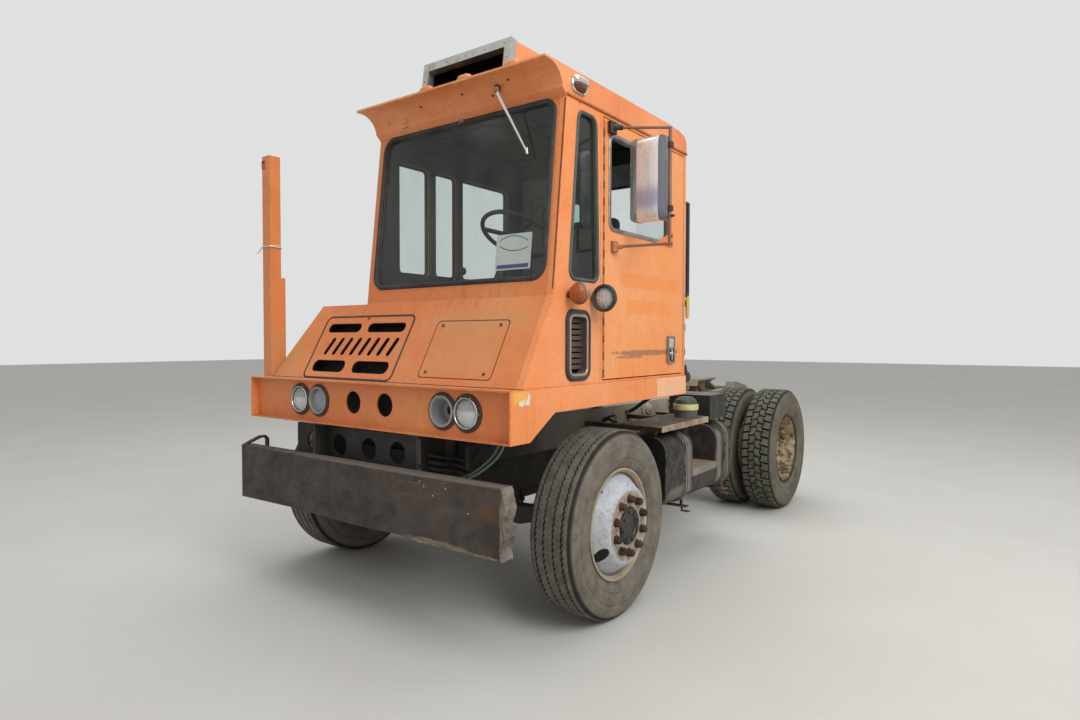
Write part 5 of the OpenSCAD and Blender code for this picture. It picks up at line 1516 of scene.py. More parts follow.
@dataclass(frozen=True)
class FrontWheel(Wheel):
    """A steered front wheel: detailed tyre, stud ends, washers, bulged disc, hub cap, bolts and valve."""

    centre: tuple[float, float] = (0.0, 506.0)
    kind: str = "front_wheel"
    track_half: float = 1029.0
    face: float = 168.0

    def build(self) -> None:
        """Makes the tyre in place of the plain one, then the small parts on the disc."""
        tyre = Tyre(self.centre[1], FRONT_TREAD).surface(self.track_half, self.centre)
        self.put("front_tyre_{}.ribbed", "tyre_rubber", FRONT_TYRE, [tyre],
                 replaces=[f"front_tyre_{self.side.name.lower()}"], sharp=32)
        face, studs = facing_left(self.track_half), self.around(self.nut_circle, 10)
        self.put("front_studs_{}", "rusty_steel", SPRING_STEEL, [
            heads(face, studs, 24, 5, 14, self.face), heads(face, studs, 10.5, 11, 10, self.face + 29)])
        self.put("front_nuts_{}", "rusty_steel", NUT_STEEL, [self.nuts(face, self.face)], sharp=30)
        disc = [[270, 70], [268, 84], [252, 104], [214, 154], [204, 163], [192, 167.5], [180, 168],
                [96, 168], [96, 160], [176, 158], [200, 148], [240, 96], [262, 70]]
        self.put("front_disc_{}", "wheel_grey", FRONT_DISC, [revolved(disc, face, self.centre, 64, wrap=True)])
        cap = np.array([[0, 6], [58, 6], [62, 12], [90, 12], [95, 8], [95.5, -6], [0, -6]]) + [0, self.face]
        self.put("front_hub_cap_{}", "wheel_grey", HUB_OIL, [
            heads(face, self.around(76, 8, 12), 8, 6, 6, self.face + 12), revolved(cap, face, self.centre, 40)])
        foot = self.around(262, 1, 130)[0]
        self.put("front_valve_{}", "bright_steel", DULL_BRIGHT, [
            rod((self.track_half + 72, *foot), (self.track_half + 108, *foot), 5, 10)])


@dataclass(frozen=True)
class RearWheels(Wheel):
    """Twin rear wheels of one side: two lugged tyres, wheel nuts, studs and hub flange bolts."""

    centre: tuple[float, float] = (3038.0, 525.0)
    kind: str = "rear_wheels"
    outer: float = 988.0
    spacing: float = 343.0

    def build(self) -> None:
        """Makes both tyres as one piece in place of the plain ones, then the hub's small parts."""
        shape = Tyre(self.centre[1], REAR_TREAD)
        self.put("rear_tyres_{}.lugged", "tyre_rubber", REAR_TYRE,
                 [shape.surface(x, self.centre) for x in (self.outer, self.outer - self.spacing)],
                 replaces=[f"rear_tyres_{self.side.name.lower()}"], sharp=30)
        hub = facing_left(self.outer - self.spacing / 2)
        self.put("rear_nuts_{}", "rusty_steel", NUT_STEEL, [self.nuts(hub, 12)], sharp=30)
        self.put("rear_hub_bolts_{}", "rusty_steel", SPRING_STEEL, [
            heads(hub, self.around(76, 8, math.degrees(0.2)), 9, 9, 6, 193),
            heads(hub, self.around(self.nut_circle, 10), 10.5, 12, 10, 41)])


# Cab trim -----------------------------------------------------------------------------------------


@dataclass(frozen=True)
class Gasket:
    """A rubber or metal strip round an opening: a profile of (across, out) carried round its outline."""

    name: str
    plane: Plane
    outline: Points
    radius: float
    finish: Finish = GASKET
    slot: str = "hose_rubber"
    body: str = "chassis"
    profile: tuple[tuple[float, float], ...] = (
        (-16, -10), (-17, 0), (-14, 6), (-7, 9.5), (2, 10), (9, 8), (15, 5), (17, 0.2), (0, 0.2), (0, -10))

    def build(self) -> bpy.types.Object:
        """Sweeps the profile round the rounded outline; a positive across is away from the opening."""
        path = self.plane.at(rounded(self.outline, self.radius, 8))
        return piece(self.name, self.slot, self.finish,
                     [swept(path, self.profile, self.plane.out, closed=True)], self.body)


SHIELD_X = (-290.0, 962.0)
SHIELD_Z = (1800.0, 2690.0)
QUARTER = [[-326, 1800], [-56, 1800], [-84, 2650], [-246, 2650]]
DOOR_WINDOW = (67.0, 2100.0, 797.0, 2600.0)
VENT = (-350.0, 1290.0, -150.0, 1634.0)
RIGHT_WINDOWS = ((-240.0, 30.0), (76.0, 290.0), (336.0, 840.0))
CHANNEL = ((-4, -12), (-5, 4), (-3, 7), (14, 7), (17, 4), (17, 0.2), (0, 0.2), (0, -12))
COVE_MIDDLE = (-500.0, 2718.0)
COVE_RADIUS = 112.0


def cove_plane(y: float) -> Plane:
    """The plane that touches the brow's hollow at a place: its out points at the hollow's own axis."""
    across = (y - COVE_MIDDLE[0]) / COVE_RADIUS
    rise = math.sqrt(max(0.0, 1 - across ** 2))
    return Plane((0, y, COVE_MIDDLE[1] + COVE_RADIUS * rise), (1, 0, 0), (0, -rise, across))


@dataclass(frozen=True)
class CabTrim:
    """Gaskets, window frames, wiper, card and small fittings of the cab's front, roof and rear."""

    def gaskets(self) -> None:
        """Rubber round every fixed pane, and the bright frame of the door's window."""
        low, high = up_glass(SHIELD_Z)
        Gasket("windshield_gasket", GLASS, box_outline(SHIELD_X[0], low, SHIELD_X[1], high), 70, profile=(
            (-9, -12), (-11, 0), (-9, 6), (-4, 10), (3, 11), (10, 9), (15, 5), (18, 0.2), (0, 0.2),
            (0, -12))).build()
        Gasket("quarter_gasket", LEFT, QUARTER, 45, GREY_GASKET, profile=(
            (-6, -10), (-8, 0), (-6, 6), (-1, 9), (5, 9), (10, 5), (12, 0.2), (0, 0.2), (0, -10))).build()
        Gasket("door_window_frame", LEFT, box_outline(*DOOR_WINDOW), 40, DULL_BRIGHT, "bright_steel",
               "left_door", CHANNEL).build()
        for i, (y0, y1) in enumerate(RIGHT_WINDOWS):
            Gasket(f"right_gasket_{i + 1}", RIGHT, box_outline(-y1, 1900, -y0, 2600), 40).build()
        Gasket("rear_gasket", REAR, box_outline(-930, 1900, -420, 2560), 40, profile=(
            (-16, -10), (-17, 0), (-14, 3), (-7, 4.2), (2, 4.2), (9, 3.5), (15, 2), (17, 0.2), (0, 0.2),
            (0, -10))).build()
        Gasket("rear_door_gasket", REAR_DOOR, box_outline(-200, 1980, 150, 2500), 40, body="rear_door", profile=(
            (-12, -20), (-13, 0), (-9, 6), (2, 7), (10, 4), (12, 0.2), (0, 0.2), (0, -20))).build()

    def vent(self) -> None:
        """Black outer ring and bright inner frame of the vent, with the bar across its slats."""
        Gasket("vent_outer_ring", LEFT, box_outline(*VENT), 50, profile=(
            (-6, 0), (-7, 12), (-3, 15), (4, 15), (9, 10), (11, 0.2))).build()
        inner = box_outline(VENT[0] + 20, VENT[1] + 20, VENT[2] - 20, VENT[3] - 20)
        Gasket("vent_inner_frame", LEFT, inner, 34, PINK_METAL, "bright_steel", profile=(
            (-7, -14), (-7, 11), (-5, 13), (5, 13), (7, 10.2), (7, 9.5), (-5, 9.5), (-5, -14))).build()
        bar = block((1008, VENT[0] + 26, 1456), (1016, VENT[2] - 26, 1465), 1.5)
        piece("vent_bar", "dusty_steel", VENT_PAINT, [bar])

    def card(self) -> None:
        """Plain pale card behind the windshield: two loose curves at its top, one band at its foot."""
        paper = plate(box_outline(628, 144, 860, 332), GLASS, -22.0, -20.4, 0.4)
        piece("windshield_card", "clear_glass", PALE_CARD, [paper])
        band = plate(box_outline(640, 152, 848, 172), GLASS, -20.6, -19.8, 0.2)
        strokes = []
        for high, bow in ((302, 26.0), (272, -22.0)):
            t = np.linspace(0, 1, 24)
            flat = np.stack([650 + 190 * t, high + bow * (1 - (2 * t - 1) ** 2) - 14 * t], 1)
            strokes.append(swept(GLASS.at(flat, -20.2), [[-2.2, -0.3], [2.2, -0.3], [2.2, 0.3], [-2.2, 0.3]],
                                 tuple(GLASS.out)))
        piece("card_strokes", "clear_glass", VIOLET, [band, *strokes])

    def wiper(self) -> None:
        """Wiper shaft in the brow, its pressed arm over the glass and the empty clip at the arm's end."""
        shaft = [rod((642, -418, 2806), (652, -436, 2782), 17, 20), rod((650, -432, 2788), (656, -444, 2772), 9, 14)]
        piece("wiper_shaft", "dusty_steel", DARK_STEEL, shaft)
        top = np.array([654.0, -442.0, 2778.0])
        end = GLASS.at([820, up_glass(2446)], 24.0)
        path = smooth_path([top, top + [22, 2, -48], top + (end - top) * 0.55 + [0, -3, 0], end], 16)
        width = np.interp(np.arange(16), [0, 3, 15], [10.0, 8.0, 4.5])
        flat = [[-1, -2.5], [1, -2.5], [1, 1.5], [0.7, 2.5], [-0.7, 2.5], [-1, 1.5]]
        arm = swept(path, flat, GLASS.out, widths=width)
        head = rod(top + [0, 2, 10], top + [4, -6, -12], 13, 16)
        clip = rod(end + [-2, 4, 14], end + [6, -2, -18], 6.5, 8)
        piece("wiper_arm", "bright_steel", WIPER_METAL, [arm, head, clip])

    def brow(self) -> None:
        """Screws in the brow's hollow, the four-bolt group, the bright bracket and rusty gutters."""
        parts = [heads(cove_plane(y), [[x, 0.0]], 7.5, 4, 10) for x, y in
                 ((85, -431), (406, -435), (595, -402), (730, -442))]
        lip = cove_plane(-390.5)
        parts.append(heads(lip, [[-98, -12], [-76, -10], [-98, 12], [-76, 14]], 4.5, 2.5, 8))
        piece("brow_screws", "dusty_steel", DARK_STEEL, parts)
        low = float(up_glass(2691))
        bracket = [plate(box_outline(318, low - 6, 352, low + 22), GLASS, 10, 14, 1.0),
                   rod(GLASS.at([335, low], 12), GLASS.at([335, low - 10], 26), 5, 10)]
        piece("brow_bracket", "bright_steel", DULL_BRIGHT, bracket)
        profile = [[-8, -1], [-8, 3], [-3, 9.5], [5, 9.5], [8, 6], [8, -1]]
        gutters = []
        for x, way in ((1032.0, 1.0), (-347.0, -1.0)):
            path = [[x, y, 2708.0] for y in (-351, -349, 1034, 1036)]
            gutters.append(swept(path, profile, (way, 0, 0)))
        piece("roof_gutters", "orange_paint", RUSTY_ORANGE, gutters)
        seam = plate(box_outline(1021, 30, 1029, 985), GLASS, -1.0, 1.4, 0.4)
        piece("pillar_rust", "orange_paint", HINGE_DARK, [seam])

    def rear_corner(self) -> None:
        """Yellow handle that hangs at the rear corner, the black elbow below and the hose's dark collars."""
        tag = domed(rounded_box(1082, 1632, 1118, 1796, 17, 6), LEFT, (1100, 1714),
                    ((0.9, -18), (1.0, -15), (1.0, -8), (0.86, -5)))
        piece("yellow_handle", "orange_paint", YELLOW, [tag])
        behind = facing_back(1060)
        dome = [[0, -4], [46, -4], [46, 40], [42, 46], [43, 58], [38, 70], [24, 78], [0, 80]]
        elbow = [revolved(dome, behind, (-996, 1244), 28), rod((1004, 1090, 1270), (1003, 1072, 1318), 24, 16)]
        piece("rear_elbow", "hose_rubber", HOSE, elbow)
        collars = [rod((1000, 1060, z - 10), (1000, 1060, z + 34), 23, 14) for z in (1720, 1560, 1400)]
        piece("hose_collars", "hose_rubber", HOSE, collars)

    def build(self) -> None:
        """All of the cab's trim."""
        self.gaskets()
        self.vent()
        self.card()
        self.wiper()
        self.brow()
        self.rear_corner()


@dataclass(frozen=True)
class RoofBox:
    """Bright metal frame round the open front of the box on the roof, and its cap screws."""

    def build(self) -> None:
        """A mitred ring on the box's leaning front, then screws along its edges."""
        face = sloped(-365, 2842, math.atan2(30, 203))
        ring = framed(box_outline(15, 0, 667, 246), box_outline(58, 30, 624, 198), face, -42.0, 7.0)
        piece("roof_box_frame", "bright_steel", PALE_METAL, [ring])
        places = [[x, 222.0] for x in (60, 200, 341, 482, 622)] + [[x, z] for x in (36, 646) for z in (60, 140)]
        piece("roof_box_screws", "dusty_steel", DULL_BRIGHT, [heads(face, places, 6, 3, 10, 7.0)])
        side = facing_left(665)
        rivets = [[y, z] for y in np.linspace(-300, 270, 7) for z in (2858, 3030)]
        piece("roof_box_rivets", "orange_paint", ORANGE, [heads(side, rivets, 5, 2.5, 8)])


@dataclass(frozen=True)
class AmberLamps:
    """The orange-painted lamps on the brow, the chromed side marker and the round turn lamp."""

    def brow_lamps(self) -> None:
        """Three low domes on the brow's top edge, each on a thin flange."""
        top = lying(2842)
        parts = []
        for x in (212, 493, 808):
            outline = rounded_box(x - 52, -534, x + 52, -478, 24, 6)
            parts.append(domed(outline, top, (x, -506),
                               ((1.0, -2), (1.0, 4), (0.9, 6), (0.84, 16), (0.68, 25), (0.4, 29), (0.0, 30))))
        piece("brow_lamps", "amber_lens", ORANGE_FRONT_SHADED, parts, replaces=["amber_lamps"])

    def side_lamp(self) -> None:
        """A brown oval lens in a chromed base on the roof's side, its upper half under a chromed hood."""
        y, z = -250, 2772
        base = rounded_box(y - 72, z - 41, y + 72, z + 41, 40.5, 8)
        rim = domed(base, LEFT, (y, z), ((1.0, -1), (1.0, 6), (0.96, 12), (0.88, 15), (0.8, 12), (0.78, 8)))
        over = rounded_box(y - 66, z + 2, y + 66, z + 39, 18, 6)
        hood = domed(over, LEFT, (y, z + 10), ((1.0, 4), (0.99, 20), (0.9, 31), (0.66, 38), (0.3, 41), (0.0, 41)))
        piece("side_lamp_rim", "bright_steel", CHROME, [rim, hood], replaces=["amber_lamps"])
        lens = domed(base, LEFT, (y, z), ((0.77, 6), (0.76, 16), (0.68, 24), (0.5, 31), (0.25, 34), (0.0, 35)))
        piece("side_lamp_lens", "amber_lens", BROWN_LENS, [lens], replaces=["amber_lamps"])

    def turn_lamp(self) -> None:
        """Two deep lenses back to back in a pale ring, on a black stalk from the wall."""
        middle = (1095, 1720)
        lens = [[0, 2], [51, 4], [50, 14], [46, 25], [38, 35], [26, 42], [12, 45.5], [0, 46]]
        lenses = [revolved(lens, plane, (way * middle[0], middle[1]), 40) for plane, way in
                  ((facing_front(-330), 1), (facing_back(-330), -1))]
        piece("turn_lamp_lens", "amber_lens", BROWN_AMBER, lenses, replaces=["amber_lamps"])
        rim = [[44, -7], [53, -9], [56, -6], [57, 0], [56, 6], [53, 9], [44, 7]]
        front = facing_front(-330)
        piece("turn_lamp_ring", "bright_steel", DULL_BRIGHT, [revolved(rim, front, middle, 40, wrap=True)],
              replaces=["amber_lamps"])
        stalk = [rod((1030, -330, 1716), (1046, -330, 1718), 19, 16),
                 swept(smooth_path([(1034, -330, 1717), (1044, -330, 1718), (1052, -330, 1720)], 6), circle(11, 12),
                       (0, 0, 1))]
        piece("turn_lamp_stalk", "dusty_steel", DARK_STEEL, stalk, replaces=["amber_lamps"])

    def build(self) -> None:
        """Every amber lamp."""
        self.brow_lamps()
        self.side_lamp()
        self.turn_lamp()


@dataclass(frozen=True)
class FrontLamps:
    """Headlamps: bright rings, reflectors behind the lenses, mounting tabs, a blank cover, the work lamp."""

    lenses: tuple[tuple[float, float], ...] = ((-584.0, 1138.0), (745.0, 1138.0))
    bowls: tuple[tuple[float, float], ...] = ((-411.0, 1138.0), (582.0, 1138.0))

    def build(self) -> None:
        """Rings and reflectors first, then the tabs with their screws, then the work lamp."""
        ring = [[69.5, 6], [69.5, 14.5], [71.5, 17.2], [74.5, 17.4], [77, 15], [77.4, 8], [74, 5]]
        bowl = [[0, -51], [14, -50], [34, -42], [48, -28], [57, -12], [61.5, 1], [62.7, 1.6], [59, -13], [50, -30],
                [36, -45], [14, -53.5], [0, -54.5]]
        rings = ringed(ring, FASCIA, self.lenses, 48)
        piece("headlamp_rings", "bright_steel", CHROME, rings)
        piece("headlamp_reflectors", "bright_steel", REFLECTOR,
              [revolved(bowl, FASCIA, place, 40) for place in self.lenses])
        mount = [[80, -1], [80, 8], [84, 10], [91, 9], [94, 6], [94, -1]]
        piece("headlamp_mounts", "lamp_shell", SHELL, ringed(mount, FASCIA, self.lenses + self.bowls, 48))
        inner = [[67.5, 3], [67.5, 15], [69.5, 17.8], [74, 17.8], [79, 15.5], [79, 10], [70, 3]]
        piece("bowl_rings", "lamp_shell", GREY_RING, ringed(inner, FASCIA, self.bowls, 48))
        self.tabs()
        self.sockets()
        self.work_lamp()

    def tabs(self) -> None:
        """Two adjusting tabs on top of every mounting ring and one at its side, each with its screw."""
        plates, screws = [], []
        for x, height in self.lenses + self.bowls:
            for angle in (68, 112, 180 if x < 0 else 0):
                a = math.radians(angle)
                u, v = x + 80 * math.cos(a), height + 80 * math.sin(a)
                plates.append(plate(rounded_box(u - 9, v - 8, u + 9, v + 8, 3, 2), FASCIA, 2, 11, 1.5))
                screws.append(heads(FASCIA, [[u, v]], 5, 5, 10, 11))
        piece("headlamp_tabs", "lamp_shell", SHELL, plates)
        piece("headlamp_screws", "dusty_steel", DULL_BRIGHT, screws)

    def sockets(self) -> None:
        """Grey inner wall and lip of the two empty bowls, and the clouded cover over the first one."""
        wall = [[62.4, 1], [52.5, -55.4], [25, -55.6], [25, -56.2], [52.9, -55.9], [62.9, 1]]
        piece("bowl_linings", "lamp_shell", BOWL_GREY, ringed(wall, FASCIA, self.bowls, 40))
        lip = [[62.6, 2.0], [69.9, 2.0], [69.9, 3.2], [62.6, 3.0]]
        piece("bowl_lips", "lamp_shell", BOWL_GREY, ringed(lip, FASCIA, self.bowls, 40))
        cover = [[0, -2], [24, -2.5], [48, -4], [60, -7], [61.8, -10], [0, -10]]
        piece("clouded_cover", "lamp_glass", CLOUDED, [revolved(cover, FASCIA, self.bowls[0], 40)])

    def work_lamp(self) -> None:
        """Thick rubber ring of the lamp on the cab's side, its reflector and its dark shell's bolt."""
        front = facing_front(-128)
        middle = (1114, 1706)
        ring = [[56.6, 1], [57.5, 8], [61, 11.5], [66, 11.5], [70, 8], [72, 1], [72, -10], [68.5, -15], [68.4, 0.5]]
        piece("work_lamp_ring", "hose_rubber", GASKET, [revolved(ring, front, middle, 44, wrap=True)])
        bowl = [[0, -31], [20, -21.5], [50, -8.9], [55, -8.2], [50, -9.5], [20, -23], [0, -33]]
        piece("work_lamp_reflector", "bright_steel", REFLECTOR, [revolved(bowl, front, middle, 40)])
        bolt = [rod((1060, -112, 1706), (1060, -112, 1672), 9, 12), rod((1034, -102, 1706), (1058, -102, 1706), 13, 12)]
        piece("work_lamp_bolt", "dusty_steel", DARK_STEEL, bolt)


@dataclass(frozen=True)
class NoseTrim:
    """Dark seal round the grille panel, panel screws, the seam over the fascia and the skirt's patches."""

    def build(self) -> None:
        """Seal, screws and stickers, all on the slopes of the nose and on the skirt."""
        up = [float(up_nose(z)) for z in (1270, 1622, 1296, 1587, 1563, 1321)]
        border = ((0, -4), (0, 1.4), (10, 1.4), (12, 0.6), (12, -4))
        Gasket("grille_border", NOSE, box_outline(-650, up[0], 120, up[1]), 34, GASKET, "hose_rubber",
               profile=border).build()
        # Black box behind the grille panel, so that the slots show painted shade.
        duct = [framed(box_outline(-655, up[0] - 5, 125, up[1] + 5), box_outline(-650, up[0], 120, up[1]), NOSE,
                       -70.0, -9.0),
                plate(box_outline(-654, up[0] - 4, 124, up[1] + 4), NOSE, -73.0, -69.0)]
        piece("grille_shade_duct", "black_paint", SHADE_BLACK, duct)
        line = ((0, -1), (0, 0.8), (3.5, 0.8), (4, -1))
        Gasket("panel_border", NOSE, box_outline(324, up[2], 820, up[3]), 24, DIRT_LINE, "orange_paint",
               profile=line).build()
        corner = [[372, up[5]], [772, up[5]], [372, up[4]], [772, up[4]]]
        piece("panel_screws", "dusty_steel", DARK_STEEL, [
            heads(NOSE, corner, 8, 4, 12, 6), heads(NOSE, [[-265, up[1] - 11.0]], 7, 4, 12, 6)])
        seam = [rod((-1040, -712, 1258.5), (1040, -712, 1258.5), 3.0, 8),
                plate(box_outline(-579.5, 1022, -577, 1052), FASCIA, -0.5, 0.6, 0.2),
                plate(box_outline(-579.5, 1226, -577, 1248), FASCIA, -0.5, 0.6, 0.2)]
        piece("nose_seam", "hose_rubber", DIRT_LINE, seam)
        self.patches()

    def patches(self) -> None:
        """Yellow reflector with its pale scrape at the skirt's front, and the repainted patch at its rear."""
        skirt = facing_left(1045)
        patch = rounded_box(-792, 1194, -672, 1250, 8, 3)
        piece("skirt_reflector", "amber_lens", REFLECT_TAPE, [plate(patch, skirt, -0.5, 1.2, 0.3)])
        scrapes = [[[-752, 1186], [-722, 1182], [-704, 1196], [-716, 1222], [-730, 1204], [-742, 1216]],
                   [[-708, 1188], [-672, 1184], [-664, 1226], [-676, 1248], [-686, 1216], [-700, 1206]]]
        piece("skirt_scrape", "orange_paint", PALE_SCRAPE,
              [plate(scrape, skirt, 0.0, 1.6, 0.2) for scrape in scrapes])
        repaint = rounded_box(612, 1138, 1029, 1256, 6, 2)
        piece("skirt_repaint", "orange_paint", PEACH, [plate(repaint, skirt, -0.3, 0.5, 0.2)])


on_door = partial(piece, body="left_door")


@dataclass(frozen=True)
class DoorTrim:
    """The left door's hinge, lock and corner plate, and the mirror with its clamps and feet."""

    def hinge(self) -> None:
        """Knuckles of the long hinge, one on the wall and the next on the door, and the door's leaf."""
        low, pitch, count = 1288.0, 46.0, 30
        for name, body, finish, first in (("hinge_wall_knuckles", "chassis", HINGE_DARK, 0),
                                          ("hinge_door_knuckles", "left_door", HINGE_RUST, 1)):
            barrels = [rod((1036, -3, low + pitch * i), (1036, -3, low + pitch * i + 43), 6.0, 10)
                       for i in range(first, count, 2)]
            piece(name, "rusty_steel", finish, barrels, body)
        leaf = block((1031.6, 1.5, 1288), (1033.6, 26, 2668), 0.5)
        screws = heads(LEFT, [[14, z] for z in np.arange(1320, 2660, 110)], 4.5, 2, 8, 1.6)
        on_door("hinge_door_leaf", "orange_paint", ORANGE_DOOR, [leaf, screws])

    def lock(self) -> None:
        """Chromed paddle lock: raised rim, dark pocket and the cross-shaped paddle."""
        rim = framed(rounded_box(764, 1344, 856, 1516, 14, 4), rounded_box(776, 1356, 844, 1504, 8, 4),
                     LEFT, 0.2, 17.0)
        on_door("lock_rim", "bright_steel", DULL_BRIGHT, [rim])
        pad = plate(rounded_box(778, 1440, 842, 1502, 8, 4), LEFT, 11, 15.5, 2.0)
        paddle = [plate(rounded_box(786, 1398, 834, 1414, 5, 3), LEFT, 12, 19, 2.0),
                  plate(rounded_box(803, 1366, 817, 1434, 5, 3), LEFT, 12, 21, 2.0)]
        on_door("lock_paddle", "bright_steel", CHROME, [pad, *paddle])
        pocket = plate(rounded_box(777, 1357, 843, 1438, 8, 4), LEFT, 11.6, 12.8, 0.5)
        on_door("lock_pocket", "black_plastic", BLACK_PLASTIC, [pocket])

    def corner_plate(self) -> None:
        """Three-cornered plate over the window's lower rear corner, with two bolts."""
        outline = [[596, 2082], [828, 2082], [828, 2170], [818, 2172]]
        on_door("window_corner_plate", "orange_paint", ORANGE_DEEP, [plate(outline, LEFT, 0.2, 10.5, 1.0)])
        bolts = [[806, 2098], [806, 2146]]
        on_door("window_corner_bolts", "dusty_steel", DARK_STEEL, [heads(LEFT, bolts, 7, 6, 6, 10.5)])

    def mirror(self) -> None:
        """Bright shell with a flat middle and slanting sides, the glass behind it, clamps and bolts."""
        front = facing_front(190)
        on_door("mirror_head", "bright_steel", CHROME_PAINTED_REFLECTIONS, [self.cover(front), self.shell(front)])
        back = facing_back(234)
        glass = plate(rounded_box(-1299, 2151, -1097, 2583, 23, 6), back, 0.3, 2.2, 0.5)
        on_door("mirror_glass", "bright_steel", CHROME, [glass])
        clamps = [block((1300, 202, 2184), (1330, 234, 2216), 4), block((1300, 202, 2524), (1330, 234, 2556), 4),
                  rod((1296, 218, 2158), (1340, 218, 2158), 8, 10)]
        on_door("mirror_clamps", "dusty_steel", DARK_STEEL, clamps)
        upper = [block((1036, 34, 2606), (1062, 92, 2672), 5), rod((1052, 62, 2640), (1096, 92, 2638), 15, 14)]
        on_door("mirror_upper_foot", "dusty_steel", BLACK, upper)
        lower = [block((1036, 78, 1972), (1058, 122, 2030), 5), rod((1050, 100, 2000), (1082, 118, 2001), 14, 14),
                 rod((1058, 96, 1974), (1058, 108, 2026), 5, 8)]
        on_door("mirror_lower_foot", "rusty_steel", HINGE_RUST, lower)

    def cover(self, front: Plane) -> Surface:
        """Pressed cover round the head: outlines at their levels, from the rear rim's inside to the face."""
        rows = []
        for inset, level in ((9.0, -45.0), (8.0, -57.3), (1.0, -58.6), (-1.5, -56.0), (-1.5, -3.0), (1.5, 1.0)):
            outline = rounded_box(1088 + inset, 2142 + inset, 1308 - inset, 2592 - inset, 28 - inset, 6)
            rows.append(front.at(outline, level))
        return grid(np.stack(rows), wrap_v=True, capped=True)

    def shell(self, front: Plane) -> Surface:
        """The raised middle: an upright strip whose depth is a trapezium across, pulled in at both ends."""
        across = np.array([1094, 1100, 1128, 1140, 1256, 1268, 1296, 1302], float)
        depth = np.array([1.0, 4.0, 15.0, 17.0, 17.0, 15.0, 4.0, 1.0])
        heights = np.array([2150, 2158, 2176, 2200, 2534, 2558, 2576, 2584], float)
        share = np.array([0.0, 0.45, 0.85, 1.0, 1.0, 0.85, 0.45, 0.0])
        u, v = np.meshgrid(across, heights, indexing="ij")
        flat = np.stack([u, v], -1)
        top = front.at(flat, 1.0 + (depth[:, None] - 1.0) * share[None])
        return closed_sheet(top, np.array(front.out) * -1.5)

    def build(self) -> None:
        """Everything that the left door carries."""
        self.hinge()
        self.lock()
        self.corner_plate()
        self.mirror()


# Chassis ------------------------------------------------------------------------------------------


@dataclass(frozen=True)
class StepTank:
    """Straps over rubber bands, the step's ridges and lip, hangers, filler cap and the deck's edges."""

    strap_y: tuple[float, ...] = (1080.0, 1775.0)

    def strap(self, y: float, half: float, grow: float, thick: float) -> Surface:
        """A flat band round the tank at one place."""
        cross = facing_front(y)
        path = cross.at(rounded_box(660 - grow, 405 - grow, 1030 + grow, 870 + grow, 110 + grow, 8), 0.0)
        profile = [[0, -half], [thick, -half + 1], [thick, half - 1], [0, half]]
        return swept(path, profile, tuple(cross.out), closed=True)

    def build(self) -> None:
        """Two bands at each place over a wider rubber one, then the step and what hangs below."""
        rubber = [self.strap(y + s, 11, 5.0, 5.0) for y in self.strap_y for s in (-14, 14)]
        piece("tank_strap_rubber", "hose_rubber", HOSE, rubber)
        bands = [self.strap(y + s, 7.5, 8.5, 4.0) for y in self.strap_y for s in (-14, 14)]
        piece("tank_straps", "black_paint", STRAP, bands)
        ridges = [block((x, 1190, 599), (x + 9, 1590, 605), 1.5) for x in np.arange(806, 1022, 22)]
        ends = [block((800, y, 599), (1026, y + 7, 606), 1.5) for y in (1183, 1590)]
        piece("step_ridges", "dusty_steel", TREAD_TAN, ridges + ends)
        lip = [block((1022, 1183, 560), (1033, 1597, 608), 2.0)]
        piece("step_lip", "black_paint", STRAP, lip)
        hang = []
        for y in self.strap_y:
            hang += [rod((1006, y - 14, 420), (1006, y - 14, 352), 6.5, 10),
                     rod((984, y + 14, 420), (984, y + 14, 360), 6.5, 10),
                     block((880, y - 30, 372), (1040, y + 26, 379), 2.0),
                     block((1006, y - 40, 346), (1064, y - 4, 352), 2.0)]
        places = [[y + s, z] for y in self.strap_y for s in (-14, 14) for z in (470.0, 800.0)]
        face = facing_left(1042)
        hang.append(heads(face, places, 5, 4, 6, 0.0))
        piece("tank_hangers", "rusty_steel", HANGER_STEEL, hang)
        cap = [revolved([[0, 22], [30, 22], [36, 18], [38, 0], [38, -4], [0, -4]], lying(870), (845, 1690), 24)]
        piece("tank_cap", "black_paint", DARK_STEEL, cap)
        edges = [block((1026, y0, 909), (1034, y1, 947), 1.5) for y0, y1 in ((716, 1240), (1244, 1439))]
        edges += [block((719, y0, 940), (1032, y0 + 6, 948), 1.5) for y0 in (716, 1433)]
        piece("deck_edges", "rusty_steel", DECK_EDGE, edges)


